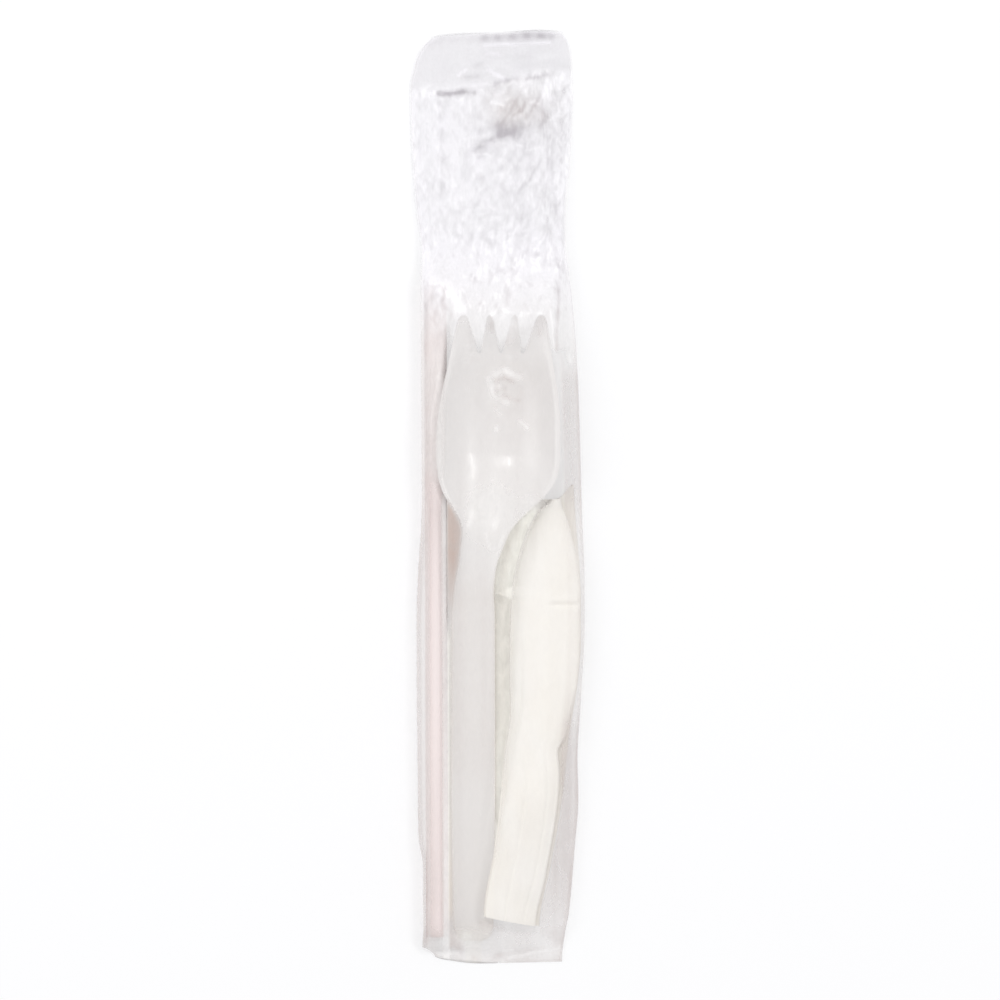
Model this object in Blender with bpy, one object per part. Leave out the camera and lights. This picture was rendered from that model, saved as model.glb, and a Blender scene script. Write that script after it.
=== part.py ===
"""Wrapped picnic cutlery: a spork, a drinking straw and a folded napkin in a clear film sleeve.

The pack lies on its back. X runs across it, Y along it towards the tines, and Z up from the table.
Sizes are in millimetres and become metres where the meshes are made.
"""

import math

import bmesh
import bpy
import numpy as np
from mathutils import Matrix

MILLIMETRE = 0.001

# Film sleeve
sleeve_length = 215.0
film_wall = 0.25
seam_extra = 0.2
seam_left = 3.0
seam_right = 9.0
top_seal_depth = 12.0
bottom_seal_depth = 3.1
air_height = 3.4
crinkle_height = 0.45
vent_radius = 0.9
vent_positions = ((-6.0, 78.0), (6.0, 66.0))

# Room left between neighbouring pieces
clearance = 0.3

# Straw
straw_length = 150.6
straw_radius = 2.6
straw_wall = 0.3
straw_bottom_x = -14.05
straw_top_x = -14.54
straw_bottom_y = -101.5
straw_sides = 24

# Spork
spork_length = 144.8
spork_tip_y = 42.0
spork_wall = 0.9
bowl_depth = 5.8
bowl_half_width = 14.3
bowl_squareness = 2.7
flange_share = 0.07
tine_length = 8.7
tine_root_half = 0.5
tine_mouth_half = 2.35
tine_flare = 0.35
tine_root_pitch = 5.0
tine_mouth_pitch = 5.8
handle_x = -5.7
neck_shift = 5.75
head_lean = 0.033
handle_height = 1.6
trough_depth = handle_height - spork_wall

# Napkin
ply = 0.55
ply_gap = 0.35
crown = 1.0
napkin_top_y = -0.4
napkin_bottom_y = -98.0
tab_reach = 4.5
corner_rise = 3.4
overlap_start_y = -60.0
overlap_ease = 15.0
end_slant = 0.2

# Room that the film takes past the lower and the upper end of each piece inside
end_room = 5.0
far_room = 16.0

contents_floor = film_wall + seam_extra + clearance + 0.05
film_skin = clearance + film_wall


def line_through(points):
    """A smooth line through (place, value) points that never overshoots them."""
    places = np.array([point[0] for point in points], float)
    values = np.array([point[1] for point in points], float)
    if places[0] > places[-1]:
        places, values = places[::-1], values[::-1]
    steps = np.diff(values) / np.diff(places)
    slopes = np.zeros(len(places))
    for i in range(1, len(places) - 1):
        before, after = steps[i - 1], steps[i]
        if before * after > 0:
            slopes[i] = 2 * before * after / (before + after)

    def value_at(place):
        place = np.clip(place, places[0], places[-1])
        i = np.clip(np.searchsorted(places, place) - 1, 0, len(places) - 2)
        width = places[i + 1] - places[i]
        t = (place - places[i]) / width
        start = values[i] * (1 + 2 * t) + slopes[i] * width * t
        end = values[i + 1] * (3 - 2 * t) - slopes[i + 1] * width * (1 - t)
        return start * (1 - t) ** 2 + end * t**2

    return value_at


def ease(t):
    """Nought to one with level ends."""
    t = np.clip(t, 0.0, 1.0)
    return t * t * (3 - 2 * t)


def material(name, colour, roughness, alpha=1.0):
    made = bpy.data.materials.new(name)
    made.use_nodes = True
    shader = made.node_tree.nodes["Principled BSDF"]
    shader.inputs["Base Color"].default_value = (*colour, 1.0)
    shader.inputs["Roughness"].default_value = roughness
    shader.inputs["Alpha"].default_value = alpha
    return made


def finish(name, bm, look, sharp=40):
    """Turns a bmesh in millimetres into a named object in metres."""
    bmesh.ops.recalc_face_normals(bm, faces=bm.faces)
    bmesh.ops.scale(bm, vec=(MILLIMETRE,) * 3, verts=bm.verts)
    mesh = bpy.data.meshes.new(name)
    bm.to_mesh(mesh)
    bm.free()
    made = bpy.data.objects.new(name, mesh)
    bpy.context.scene.collection.objects.link(made)
    mesh.materials.append(look)
    mesh.shade_smooth()
    mesh.set_sharp_from_angle(angle=math.radians(sharp))
    return made


def sheet(rows, columns, upper, lower):
    """A closed sheet: a grid given one side's shape, then extruded to the other side's."""
    bm = bmesh.new()
    bmesh.ops.create_grid(bm, x_segments=columns - 1, y_segments=rows - 1, size=1)
    column_of = bm.verts.layers.int.new("column")
    row_of = bm.verts.layers.int.new("row")
    for vert in bm.verts:
        vert[column_of] = round((vert.co.x + 1) / 2 * (columns - 1))
        vert[row_of] = round((vert.co.y + 1) / 2 * (rows - 1))
    first = list(bm.verts)
    made = bmesh.ops.extrude_face_region(bm, geom=list(bm.faces), use_keep_orig=True)
    second = [item for item in made["geom"] if isinstance(item, bmesh.types.BMVert)]
    for vert in first:
        vert.co = lower[vert[row_of]][vert[column_of]]
    for vert in second:
        vert.co = upper[vert[row_of]][vert[column_of]]
    return bm


# Spork: where its middle, its edges and its rim run, at each distance from the tine tips

spork_bottom_y = spork_tip_y - spork_length
rim_top = contents_floor + spork_wall + bowl_depth
handle_end_top = contents_floor + handle_height
neck_start = 34.5
neck_end = 65.7
shoulder = 45.0

half_width_share = line_through(
    (
        (0.0, 0.655),
        (0.7, 0.7),
        (5.0, 0.765),
        (11.6, 0.85),
        (19.4, 0.951),
        (26.4, 0.996),
        (32.2, 1.0),
        (36.8, 0.967),
        (40.7, 0.854),
        (43.8, 0.688),
        (47.5, 0.478),
        (50.2, 0.389),
        (53.9, 0.348),
        (57.6, 0.315),
        (63.4, 0.328),
        (69.5, 0.348),
        (88.9, 0.352),
        (112.0, 0.356),
        (135.2, 0.336),
        (spork_length - 3.8, 0.325),
        (spork_length - 1.6, 0.285),
        (spork_length - 0.5, 0.215),
        (spork_length, 0.13),
    )
)
depth_share = line_through(
    (
        (0.0, 0.1),
        (8.6, 0.5),
        (14.0, 0.82),
        (20.0, 0.96),
        (26.0, 1.0),
        (31.5, 0.985),
        (34.0, 0.93),
        (37.0, 0.8),
        (50.0, 0.19),
        (53.0, trough_depth / bowl_depth),
        (spork_length, trough_depth / bowl_depth),
    )
)


def spork_middle(along):
    lean = head_lean * np.maximum(0.0, 28.7 - along)
    return handle_x + neck_shift * (1 - ease((along - neck_start) / (neck_end - neck_start))) + lean


def spork_half(along):
    return bowl_half_width * half_width_share(along)


def spork_rim(along):
    down = np.clip((along - shoulder) / (spork_length - shoulder), 0.0, 1.0)
    tips = 0.5 * np.clip((11.6 - along) / 11.6, 0.0, 1.0) ** 2
    return rim_top - (rim_top - handle_end_top) * down - tips


def spork_section(along, across):
    """Depth of the upper and the lower side below the rim, at a share across from -1 to 1."""
    inner = 1 - flange_share
    reach = np.minimum(np.abs(across) / inner, 1.0)
    depth = bowl_depth * depth_share(along)
    over = depth * (1 - reach**bowl_squareness)
    slope = depth * bowl_squareness * reach ** (bowl_squareness - 1) / (inner * spork_half(along))
    slope = np.where(reach < 1.0, slope, 0.0)
    under = over + spork_wall * np.sqrt(1 + np.minimum(slope, 1.2) ** 2)
    return over, np.minimum(under, np.maximum(depth, trough_depth) + spork_wall)


def build_spork():
    stations = (0, 0.7, 2.5, 5, 8.6, 11.6, 15, 19, 23, 26.5, 30, 32, 34, 36, 38.5, 40.7, 42.5, 44.3, 46)
    stations += (47.5, 49, 50.5, 53, 57.6, 60.5, 64, 69.5, 78, 89, 100, 112, 124, 135.2)
    stations += tuple(spork_length - back for back in (3.8, 1.6, 0.5, 0.0))
    shares = np.array((-1, -0.93, -0.84, -0.7, -0.5, -0.25, 0, 0.25, 0.5, 0.7, 0.84, 0.93, 1))
    upper, lower = [], []
    for along in stations:
        x = spork_middle(along) + spork_half(along) * shares
        over, under = spork_section(along, shares)
        y = np.full(len(shares), spork_tip_y - along)
        upper.append(np.stack([x, y, spork_rim(along) - over], axis=1))
        lower.append(np.stack([x, y, spork_rim(along) - under], axis=1))
    bm = sheet(len(stations), len(shares), upper, lower)
    spork = finish("spork", bm, material("spork_plastic", (0.82, 0.82, 0.81), 0.28), sharp=50)

    # Three wedges between the four tines, each with a round root and flared tips
    for number, centre_share in enumerate((-1, 0, 1)):
        root_x = spork_middle(tine_length) + centre_share * tine_root_pitch
        mouth_x = spork_middle(0.0) + centre_share * tine_mouth_pitch
        outline = [
            (mouth_x - tine_mouth_half - 3 * tine_flare, spork_tip_y + 4 * tine_flare),
            (mouth_x - tine_mouth_half - tine_flare, spork_tip_y),
            (mouth_x - tine_mouth_half, spork_tip_y - 2 * tine_flare),
        ]
        for turn in range(0, 5):
            angle = math.pi + math.pi * turn / 4
            outline.append(
                (
                    root_x + tine_root_half * math.cos(angle),
                    spork_tip_y - tine_length + tine_root_half + tine_root_half * math.sin(angle),
                )
            )
        outline += [
            (mouth_x + tine_mouth_half, spork_tip_y - 2 * tine_flare),
            (mouth_x + tine_mouth_half + tine_flare, spork_tip_y),
            (mouth_x + tine_mouth_half + 3 * tine_flare, spork_tip_y + 4 * tine_flare),
        ]
        cutter_mesh = bmesh.new()
        corners = [cutter_mesh.verts.new((x, y, 0.0)) for x, y in outline]
        face = cutter_mesh.faces.new(corners)
        made = bmesh.ops.extrude_face_region(cutter_mesh, geom=[face], use_keep_orig=True)
        raised = [item for item in made["geom"] if isinstance(item, bmesh.types.BMVert)]
        bmesh.ops.translate(cutter_mesh, vec=(0, 0, rim_top + 3), verts=raised)
        cutter = finish(f"tine_gap_{number}", cutter_mesh, spork.data.materials[0])
        cutter.hide_render = True
        cutter.display_type = "WIRE"
        cut = spork.modifiers.new(f"tine_gap_{number}", "BOOLEAN")
        cut.operation = "DIFFERENCE"
        cut.solver = "EXACT"
        cut.object = cutter
    return spork


# Straw: a thin tube lying beside the handle, passing under the bowl's left rim

straw_z = contents_floor + straw_radius
straw_top_y = straw_bottom_y + straw_length
straw_lean = (straw_top_x - straw_bottom_x) / straw_length


def straw_x(y):
    return straw_bottom_x + straw_lean * (y - straw_bottom_y)


def build_straw():
    bm = bmesh.new()
    bmesh.ops.create_cone(
        bm,
        cap_ends=False,
        segments=straw_sides,
        radius1=straw_radius,
        radius2=straw_radius,
        depth=straw_length,
    )
    for vert in bm.verts:
        y = straw_bottom_y + straw_length / 2 + vert.co.z
        vert.co = (straw_x(y) + vert.co.x, y, straw_z + vert.co.y)
    straw = finish("straw", bm, material("straw_plastic", (0.87, 0.74, 0.73), 0.3))
    wall = straw.modifiers.new("wall", "SOLIDIFY")
    wall.thickness = straw_wall * MILLIMETRE
    wall.offset = 1
    return straw


# Napkin: one folded sheet, its wide lowest ply under a narrower roll of three plies

roll_left = line_through(
    (
        (-0.4, 12.4),
        (-3.4, 9.3),
        (-11.2, 6.0),
        (-20.7, 3.2),
        (-26.0, 2.7),
        (-37.6, 2.3),
        (-49.4, 2.6),
        (-58.2, 1.4),
        (-72.8, 0.25),
        (-81.6, -0.95),
        (-98.0, -3.25),
    )
)
roll_right = line_through(
    (
        (-0.4, 14.6),
        (-8.2, 16.7),
        (-15.6, 18.5),
        (-23.0, 19.2),
        (-33.0, 19.2),
        (-42.0, 18.5),
        (-49.4, 16.9),
        (-55.2, 15.7),
        (-58.7, 13.9),
        (-64.0, 14.3),
        (-69.8, 13.9),
        (-86.7, 11.1),
        (-98.0, 8.7),
    )
)
under_right = line_through(
    (
        (-0.4, 17.6),
        (-15.6, 18.9),
        (-23.0, 19.2),
        (-33.0, 19.2),
        (-42.0, 18.6),
        (-55.2, 16.5),
        (-69.8, 14.9),
        (-83.9, 12.5),
        (-98.0, 9.6),
    )
)
under_left = line_through(((-0.4, -1.6), (-66.0, -1.6), (-82.0, 0.4), (-98.0, 0.8)))
ply_pitch = ply + ply_gap


def napkin_lift(y):
    """How far the roll's left edge is raised where it lies over the handle."""
    handle_top = spork_rim(spork_tip_y - y)
    second_ply = contents_floor + ply_pitch
    need = (handle_top + clearance + 0.05 - second_ply) / 0.78
    return max(0.0, need) * ease((overlap_start_y - y) / overlap_ease)


def napkin_line(y):
    """The folded sheet's middle line across the pack, from the lowest ply's free edge to the top one's."""
    left, right = roll_left(y), roll_right(y)
    far = max(under_right(y), right)
    lift = napkin_lift(y)
    turn = ply_pitch / 2
    inset = turn + ply / 2
    middle, half = (left + right) / 2, (right - left) / 2
    base = contents_floor + ply / 2

    def height(x, level):
        raised = lift * np.clip((right - x) / (right - left), 0.0, 1.0) if level else 0.0
        dome = crown * level / 3 * max(0.0, 1 - ((x - middle) / half) ** 2)
        return base + ply_pitch * level + raised + dome

    def run(start, end, level, count):
        return [(x, height(x, level)) for x in np.linspace(start, end, count)]

    def fold(x, level, side):
        low, high = height(x, level), height(x, level + 1)
        centre, radius = (low + high) / 2, (high - low) / 2
        angles = [math.radians(a) for a in (-50, 0, 50)]
        return [(x + side * turn * math.cos(a), centre + radius * math.sin(a)) for a in angles]

    crease = 0.35 * math.exp(-(((y + 24.9) / 1.2) ** 2))
    tab = tab_reach * math.exp(-(((y + 21.9) / 0.7) ** 2))
    line = run(under_left(y), far - inset, 0, 4)
    line += fold(far - inset, 0, 1)
    line += run(far - inset, left + inset, 1, 4)
    line += fold(left + inset, 1, -1)
    line += run(left + inset, right - inset, 2, 4)
    line += fold(right - inset, 2, 1)
    top = run(right - inset, left + 0.5, 3, 7)
    top[-1] = (top[-1][0] - tab, top[-1][1] + 0.1 * tab)
    line += [(x, z - crease * ease((x - middle) / half)) for x, z in top]
    return np.array(line)


def build_napkin():
    stations = (-3.4, -7.5, -11.2, -15.6, -19.5, -20.9, -21.9, -22.9, -24.9, -28.8, -35.3, -42.0, -46.2)
    stations += (-49.4, -55.2, -58.7, -64.0, -69.8, -77.2, -83.9, -89.7, -94.5)
    stations = (napkin_top_y, *stations, napkin_bottom_y)
    upper, lower = [], []
    for y in stations:
        line = napkin_line(y)
        along = np.gradient(line, axis=0)
        normal = np.stack([-along[:, 1], along[:, 0]], axis=1)
        normal /= np.linalg.norm(normal, axis=1)[:, None]
        near_bottom = ease((napkin_bottom_y + 18.0 - y) / 18.0)
        near_top = ease((y - napkin_top_y + 14.0) / 14.0)
        right = float(under_right(napkin_top_y))
        slant = -end_slant * (line[:, 0] - float(roll_left(y)) - 6.0) * near_bottom
        slant += corner_rise * ease((line[:, 0] - right + 4.0) / 4.0) * near_top
        for side, rows in ((1, upper), (-1, lower)):
            moved = line + side * ply / 2 * normal
            rows.append(np.stack([moved[:, 0], y + slant, moved[:, 1]], axis=1))
    bm = sheet(len(stations), len(upper[0]), upper, lower)
    return finish("napkin", bm, material("napkin_paper", (0.9, 0.88, 0.8), 0.9), sharp=60)


# Film sleeve: outline of its two long edges, then the front film drawn taut over what is inside

top_end = sleeve_length / 2
bottom_end = -sleeve_length / 2
left_edge = line_through(
    (
        (107.5, -15.6),
        (105.9, -17.2),
        (103.1, -18.8),
        (100.1, -19.7),
        (94.3, -20.7),
        (85.1, -20.4),
        (68.9, -19.4),
        (59.6, -18.1),
        (52.7, -17.2),
        (45.7, -16.8),
        (22.6, -17.5),
        (-5.2, -17.8),
        (-16.8, -18.5),
        (-28.4, -18.9),
        (-70.0, -18.6),
        (-80.5, -18.4),
        (-88.5, -17.5),
        (-95.5, -17.3),
        (-101.3, -17.4),
        (-104.5, -17.6),
        (-107.5, -14.6),
    )
)
right_edge = line_through(
    (
        (107.5, 15.0),
        (105.9, 16.4),
        (103.1, 17.1),
        (94.3, 17.5),
        (77.0, 16.7),
        (68.9, 15.9),
        (59.6, 15.7),
        (45.7, 17.1),
        (34.2, 18.1),
        (22.6, 18.7),
        (-5.2, 19.5),
        (-16.8, 20.0),
        (-28.4, 20.1),
        (-46.9, 19.2),
        (-60.8, 18.4),
        (-70.0, 18.6),
        (-80.5, 17.8),
        (-95.5, 16.5),
        (-101.3, 15.5),
        (-107.5, 14.8),
    )
)
top_cut = line_through(((-17, -1.6), (-11, -0.9), (0.5, 0.1), (9.7, 1.2), (14.4, 0.8), (17, -0.3)))
bottom_cut = line_through(((-18, 2.6), (-13.4, 0.4), (-4.2, -0.7), (0.5, -0.6), (15, -0.3)))


def sleeve_edges(y):
    """Both long edges, pushed out where what is inside needs more room."""
    left, right = float(left_edge(y)), float(right_edge(y))
    along = np.clip(spork_tip_y - y, 0.0, spork_length)

    def beside(low, high):
        """One next to a piece that runs from low to high, easing to nought past its ends."""
        return ease((y - low + end_room) / (end_room - 1)) * ease((high + far_room - y) / (far_room - 1))

    by_straw = beside(straw_bottom_y, straw_top_y)
    by_napkin = beside(napkin_bottom_y - 2.0, napkin_top_y + corner_rise)
    by_spork = beside(spork_bottom_y, spork_tip_y)
    straw_side = straw_x(y) - straw_radius - film_skin - 0.15
    napkin_side = max(under_right(y), roll_right(y)) + film_skin + 0.15
    spork_half_room = spork_half(along) + film_skin + 0.4
    left += min(0.0, straw_side - left) * by_straw
    left += min(0.0, spork_middle(along) - spork_half_room - left) * by_spork
    right += max(0.0, napkin_side - right) * by_napkin
    right += max(0.0, spork_middle(along) + spork_half_room - right) * by_spork
    return left, right


def content_height(x, y):
    """Lowest height at which the film's outer face clears what lies under it."""
    height = 2 * film_wall
    reach = straw_radius + film_skin + 0.1
    aside = abs(x - straw_x(y))
    if aside < reach and straw_bottom_y - 0.7 < y < straw_top_y + 0.7:
        height = max(height, straw_z + math.sqrt(reach**2 - aside**2))
    along = np.clip(spork_tip_y - y, 0.0, spork_length)
    if spork_bottom_y - 0.7 < y < spork_tip_y + 0.7:
        if abs(x - spork_middle(along)) < spork_half(along) + 1.8:
            height = max(height, float(spork_rim(along)) + film_skin)
    if napkin_bottom_y - 2.2 < y < napkin_top_y + corner_rise + 0.8:
        inside = np.clip(y, napkin_bottom_y, napkin_top_y)
        line = napkin_line(inside)
        near = line[np.abs(line[:, 0] - x) < 1.3]
        if len(near):
            height = max(height, near[:, 1].max() + ply / 2 + film_skin + 0.1)
    return height


def sleeve_rows():
    """Places along the sleeve, from the bottom cut up, and how far each follows the cut's line."""
    seal_bottom = bottom_end + bottom_seal_depth
    seal_top = top_end - top_seal_depth
    rows = [(bottom_end, 1.0), (bottom_end + bottom_seal_depth * 0.5, 0.5), (seal_bottom, 0.0)]
    for y in (0.7, 1.7, 3.2, 5.5, 9.5):
        rows.append((seal_bottom + y, 0.0))
    tines_end, straw_end = sorted((spork_tip_y + 0.9, straw_top_y + 0.9))
    for y in np.linspace(seal_bottom + 15.0, tines_end, 22):
        rows.append((y, 0.0))
    if straw_end - tines_end > 1.0:
        rows.append((straw_end, 0.0))
    for y in np.linspace(straw_end + 3.4, seal_top - 3.0, 15):
        rows.append((y, 0.0))
    rows += [(seal_top - 1.0, 0.0), (seal_top, 0.0)]
    rows += [(seal_top + top_seal_depth * t, t * t) for t in (0.35, 0.65, 0.85, 1.0)]
    return rows


def crinkle(x, y):
    """Lengthwise gathers in the empty end of the sleeve, dying out towards the seal and the tines."""
    contents_end = max(spork_tip_y, straw_top_y)
    reach = ease((y - contents_end - 1.0) / 10.0) * ease((top_end - top_seal_depth - y) / 9.0)
    wave = math.sin(0.95 * x + 0.11 * y + 1.3 * math.sin(0.17 * y))
    wave += 0.6 * math.sin(1.5 * x - 0.16 * y + 2.0) + 0.5 * math.sin(0.45 * y + 0.35 * x)
    return crinkle_height * reach * wave


def build_sleeve():
    rows = sleeve_rows()
    inset = (0.0, 0.35, 1.0, 2.0)
    middle_columns = 21
    xs, ys = [], []
    for y, follow in rows:
        left, right = sleeve_edges(y)
        inner = np.linspace(left + inset[-1], right - inset[-1], middle_columns + 2)
        x = np.concatenate([left + np.array(inset[:-1]), inner, right - np.array(inset[:-1])[::-1]])
        cut = top_cut(x) if y > 0 else bottom_cut(x)
        xs.append(x)
        ys.append(y + follow * cut)
    xs, ys = np.array(xs), np.array(ys)
    count, wide = xs.shape
    seal_first, seal_last = 2, count - 5

    floor = np.full_like(xs, 2 * film_wall)
    for i in range(seal_first + 1, seal_last):
        below, above = rows[i - 1][0], rows[i + 1][0]
        here = rows[i][0]
        reaches = [(below + here) / 2, here, (above + here) / 2]
        for j in range(1, wide - 1):
            floor[i, j] = max(content_height(xs[i, j], y) for y in reaches)
        air = air_height * ease((here - 40.0) / 20.0) * ease((rows[seal_last][0] - here) / 16.0)
        floor[i, 1:-1] = np.maximum(floor[i, 1:-1], air * np.sin(np.linspace(0, math.pi, wide))[1:-1] ** 0.5)

    # Edge height: half the straw up on the left, lower on the right, closing to the seals
    top = floor.copy()
    for i, (y, _) in enumerate(rows):
        closing = ease((y - rows[seal_first][0]) / 7.0) * ease((rows[seal_last][0] - y) / 30.0)
        top[i, 0] = film_wall + (straw_z - film_wall) * closing * ease((straw_top_y + 25 - y) / 30.0)
        top[i, 0] = max(top[i, 0], film_wall + 0.9 * closing)
        top[i, -1] = film_wall + (2.2 - film_wall) * closing

    # Taut film: each free point takes the height its neighbours pull it to, never below the floor
    step_x = np.diff(xs, axis=1)
    step_y = np.abs(np.diff(ys, axis=0))
    inside = slice(1, -1)
    pull_left, pull_right = 1 / step_x[inside, :-1], 1 / step_x[inside, 1:]
    across = (step_x[inside, :-1] + step_x[inside, 1:]) / (step_y[:-1, inside] + step_y[1:, inside])
    pull_down, pull_up = across / step_y[:-1, inside], across / step_y[1:, inside]
    total = pull_left + pull_right + pull_down + pull_up
    for _ in range(900):
        drawn = pull_left * top[inside, :-2] + pull_right * top[inside, 2:]
        drawn += pull_down * top[:-2, inside] + pull_up * top[2:, inside]
        top[inside, inside] = np.maximum(floor[inside, inside], drawn / total)
        top[: seal_first + 1, inside] = 2 * film_wall
        top[seal_last:, inside] = 2 * film_wall

    for i in range(seal_first + 1, seal_last):
        for j in range(2, wide - 2):
            top[i, j] += crinkle(xs[i, j], ys[i, j])

    # Underside: flat on the table, turning up to the two long edges
    under = np.zeros_like(top)
    for i in range(count):
        for side, edge in ((0, xs[i, 0]), (-1, xs[i, -1])):
            rise = top[i, side]
            turn = min(2.2, 0.4 + rise)
            near = np.clip(1 - np.abs(xs[i] - edge) / turn, 0.0, 1.0)
            under[i] += rise * (1 - np.sqrt(1 - near**2))

    def ring(bm, i, upper, lower, x):
        """One loop round the sleeve: over the front from left to right, back along the underside."""
        over = [bm.verts.new((x[j], ys[i, j], upper[j])) for j in range(wide)]
        back = [bm.verts.new((x[j], ys[i, j], lower[j])) for j in range(wide - 2, 0, -1)]
        return over + back

    def join(bm, rings):
        """Quads between loops, and a strip of quads that closes each end."""
        for first, second in zip(rings, rings[1:]):
            for k in range(len(first)):
                after = (k + 1) % len(first)
                bm.faces.new((first[k], first[after], second[after], second[k]))
        for end in (rings[0], rings[-1]):
            over = end[:wide]
            back = [end[0], *end[wide:][::-1], end[wide - 1]]
            for j in range(wide - 1):
                corners = [over[j], over[j + 1], back[j + 1], back[j]]
                bm.faces.new(list(dict.fromkeys(corners)))

    outer = bmesh.new()
    rings = [ring(outer, i, top[i], under[i], xs[i]) for i in range(count)]
    join(outer, rings)
    bmesh.ops.recalc_face_normals(outer, faces=outer.faces)
    outer.normal_update()

    # Inside face: the outer one moved in by the film's thickness, with a doubled strip for the lap seam
    inner_rings = []
    for i in range(seal_first + 1, seal_last):
        moved = np.array([vert.co - vert.normal * film_wall for vert in rings[i]])
        upper = moved[:wide].copy()
        lower = np.vstack([moved[:1], moved[wide:][::-1], moved[wide - 1 : wide]])
        lap = np.clip((seam_right - lower[:, 0]) / 0.8, 0, 1) * np.clip((lower[:, 0] - seam_left) / 0.8, 0, 1)
        lower[1:-1, 2] += seam_extra * lap[1:-1]
        middle = (upper[:, 2] + lower[:, 2]) / 2
        upper[1:-1, 2] = np.maximum(upper[1:-1, 2], middle[1:-1] + 0.07)
        lower[1:-1, 2] = np.minimum(lower[1:-1, 2], middle[1:-1] - 0.07)
        over = [outer.verts.new(point) for point in upper]
        back = [outer.verts.new(point) for point in lower[1:-1][::-1]]
        inner_rings.append(over + back)
    before = set(outer.faces)
    join(outer, inner_rings)
    added = [face for face in outer.faces if face not in before]
    bmesh.ops.recalc_face_normals(outer, faces=added)
    bmesh.ops.reverse_faces(outer, faces=added)
    bmesh.ops.scale(outer, vec=(MILLIMETRE,) * 3, verts=outer.verts)
    mesh = bpy.data.meshes.new("film_sleeve")
    outer.to_mesh(mesh)
    outer.free()
    sleeve = bpy.data.objects.new("film_sleeve", mesh)
    bpy.context.scene.collection.objects.link(sleeve)
    mesh.materials.append(material("clear_film", (0.9, 0.9, 0.91), 0.12, alpha=0.3))
    mesh.shade_smooth()
    mesh.set_sharp_from_angle(angle=math.radians(40))

    # Two small vents let the air out through the back film
    for number, (x, y) in enumerate(vent_positions):
        pin = bmesh.new()
        bmesh.ops.create_cone(
            pin,
            cap_ends=True,
            segments=16,
            radius1=vent_radius,
            radius2=vent_radius,
            depth=3 * film_wall + 0.8,
        )
        bmesh.ops.translate(pin, vec=(x, y, 0.0), verts=pin.verts)
        cutter = finish(f"vent_{number}", pin, mesh.materials[0])
        cutter.hide_render = True
        cutter.display_type = "WIRE"
        cut = sleeve.modifiers.new(f"vent_{number}", "BOOLEAN")
        cut.operation = "DIFFERENCE"
        cut.solver = "EXACT"
        cut.object = cutter
    return sleeve


def centre_on(sleeve):
    """Moves everything so that the sleeve's middle is the origin."""
    points = np.array([vert.co for vert in sleeve.data.vertices])
    middle = (points.min(axis=0) + points.max(axis=0)) / 2
    shift = Matrix.Translation((-middle[0], -middle[1], 0.0))
    for made in bpy.data.objects:
        made.data.transform(shift)


for old in list(bpy.data.objects):
    bpy.data.objects.remove(old, do_unlink=True)
build_spork()
build_straw()
build_napkin()
centre_on(build_sleeve())
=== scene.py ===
import math

import bmesh
import bpy
import numpy as np
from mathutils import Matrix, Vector
from mathutils.bvhtree import BVHTree


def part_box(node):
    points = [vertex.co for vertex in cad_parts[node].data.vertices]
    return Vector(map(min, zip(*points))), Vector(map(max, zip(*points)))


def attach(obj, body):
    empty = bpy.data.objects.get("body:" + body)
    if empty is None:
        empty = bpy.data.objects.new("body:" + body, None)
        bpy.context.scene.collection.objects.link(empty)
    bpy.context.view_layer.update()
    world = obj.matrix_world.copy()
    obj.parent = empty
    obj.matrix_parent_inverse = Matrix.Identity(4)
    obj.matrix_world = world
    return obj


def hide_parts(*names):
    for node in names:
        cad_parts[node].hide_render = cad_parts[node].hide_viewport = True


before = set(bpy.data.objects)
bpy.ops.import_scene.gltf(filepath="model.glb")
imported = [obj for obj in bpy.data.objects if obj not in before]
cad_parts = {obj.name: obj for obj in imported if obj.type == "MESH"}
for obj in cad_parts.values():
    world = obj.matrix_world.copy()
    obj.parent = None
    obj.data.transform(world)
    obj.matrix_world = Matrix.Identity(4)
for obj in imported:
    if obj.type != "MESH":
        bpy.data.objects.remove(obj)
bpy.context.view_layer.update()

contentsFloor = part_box("spork")[0].z * 1000
print("frame loaded, contents lie", round(contentsFloor, 2), "mm up")


# Everything is drawn in millimetres on the pack's own plan: X across it, Y towards the tines
def lineThrough(points):
    places = np.array([point[0] for point in points], float)
    values = np.array([point[1] for point in points], float)
    if places[0] > places[-1]:
        places, values = places[::-1], values[::-1]
    steps = np.diff(values) / np.diff(places)
    slopes = np.zeros(len(places))
    for i in range(1, len(places) - 1):
        before, after = steps[i - 1], steps[i]
        if before * after > 0:
            slopes[i] = 2 * before * after / (before + after)

    def valueAt(place):
        place = np.clip(place, places[0], places[-1])
        i = np.clip(np.searchsorted(places, place) - 1, 0, len(places) - 2)
        width = places[i + 1] - places[i]
        t = (place - places[i]) / width
        start = values[i] * (1 + 2 * t) + slopes[i] * width * t
        end = values[i + 1] * (3 - 2 * t) - slopes[i + 1] * width * (1 - t)
        return start * (1 - t) ** 2 + end * t**2

    return valueAt


def ease(t):
    t = np.clip(t, 0.0, 1.0)
    return t * t * (3 - 2 * t)


def hill(x, y, atX, atY, wideX, wideY):
    return np.exp(-(((x - atX) / wideX) ** 2) - ((y - atY) / wideY) ** 2)


def scatter(a, b, seed):
    v = np.sin(a * 127.1 + b * 311.7 + seed * 74.7) * 43758.5453
    return v - np.floor(v)


def softNoise(x, y, seed):
    x0, y0 = np.floor(x), np.floor(y)
    tx, ty = ease(x - x0), ease(y - y0)
    low = scatter(x0, y0, seed) * (1 - tx) + scatter(x0 + 1, y0, seed) * tx
    high = scatter(x0, y0 + 1, seed) * (1 - tx) + scatter(x0 + 1, y0 + 1, seed) * tx
    return (low * (1 - ty) + high * ty) * 2 - 1


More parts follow.
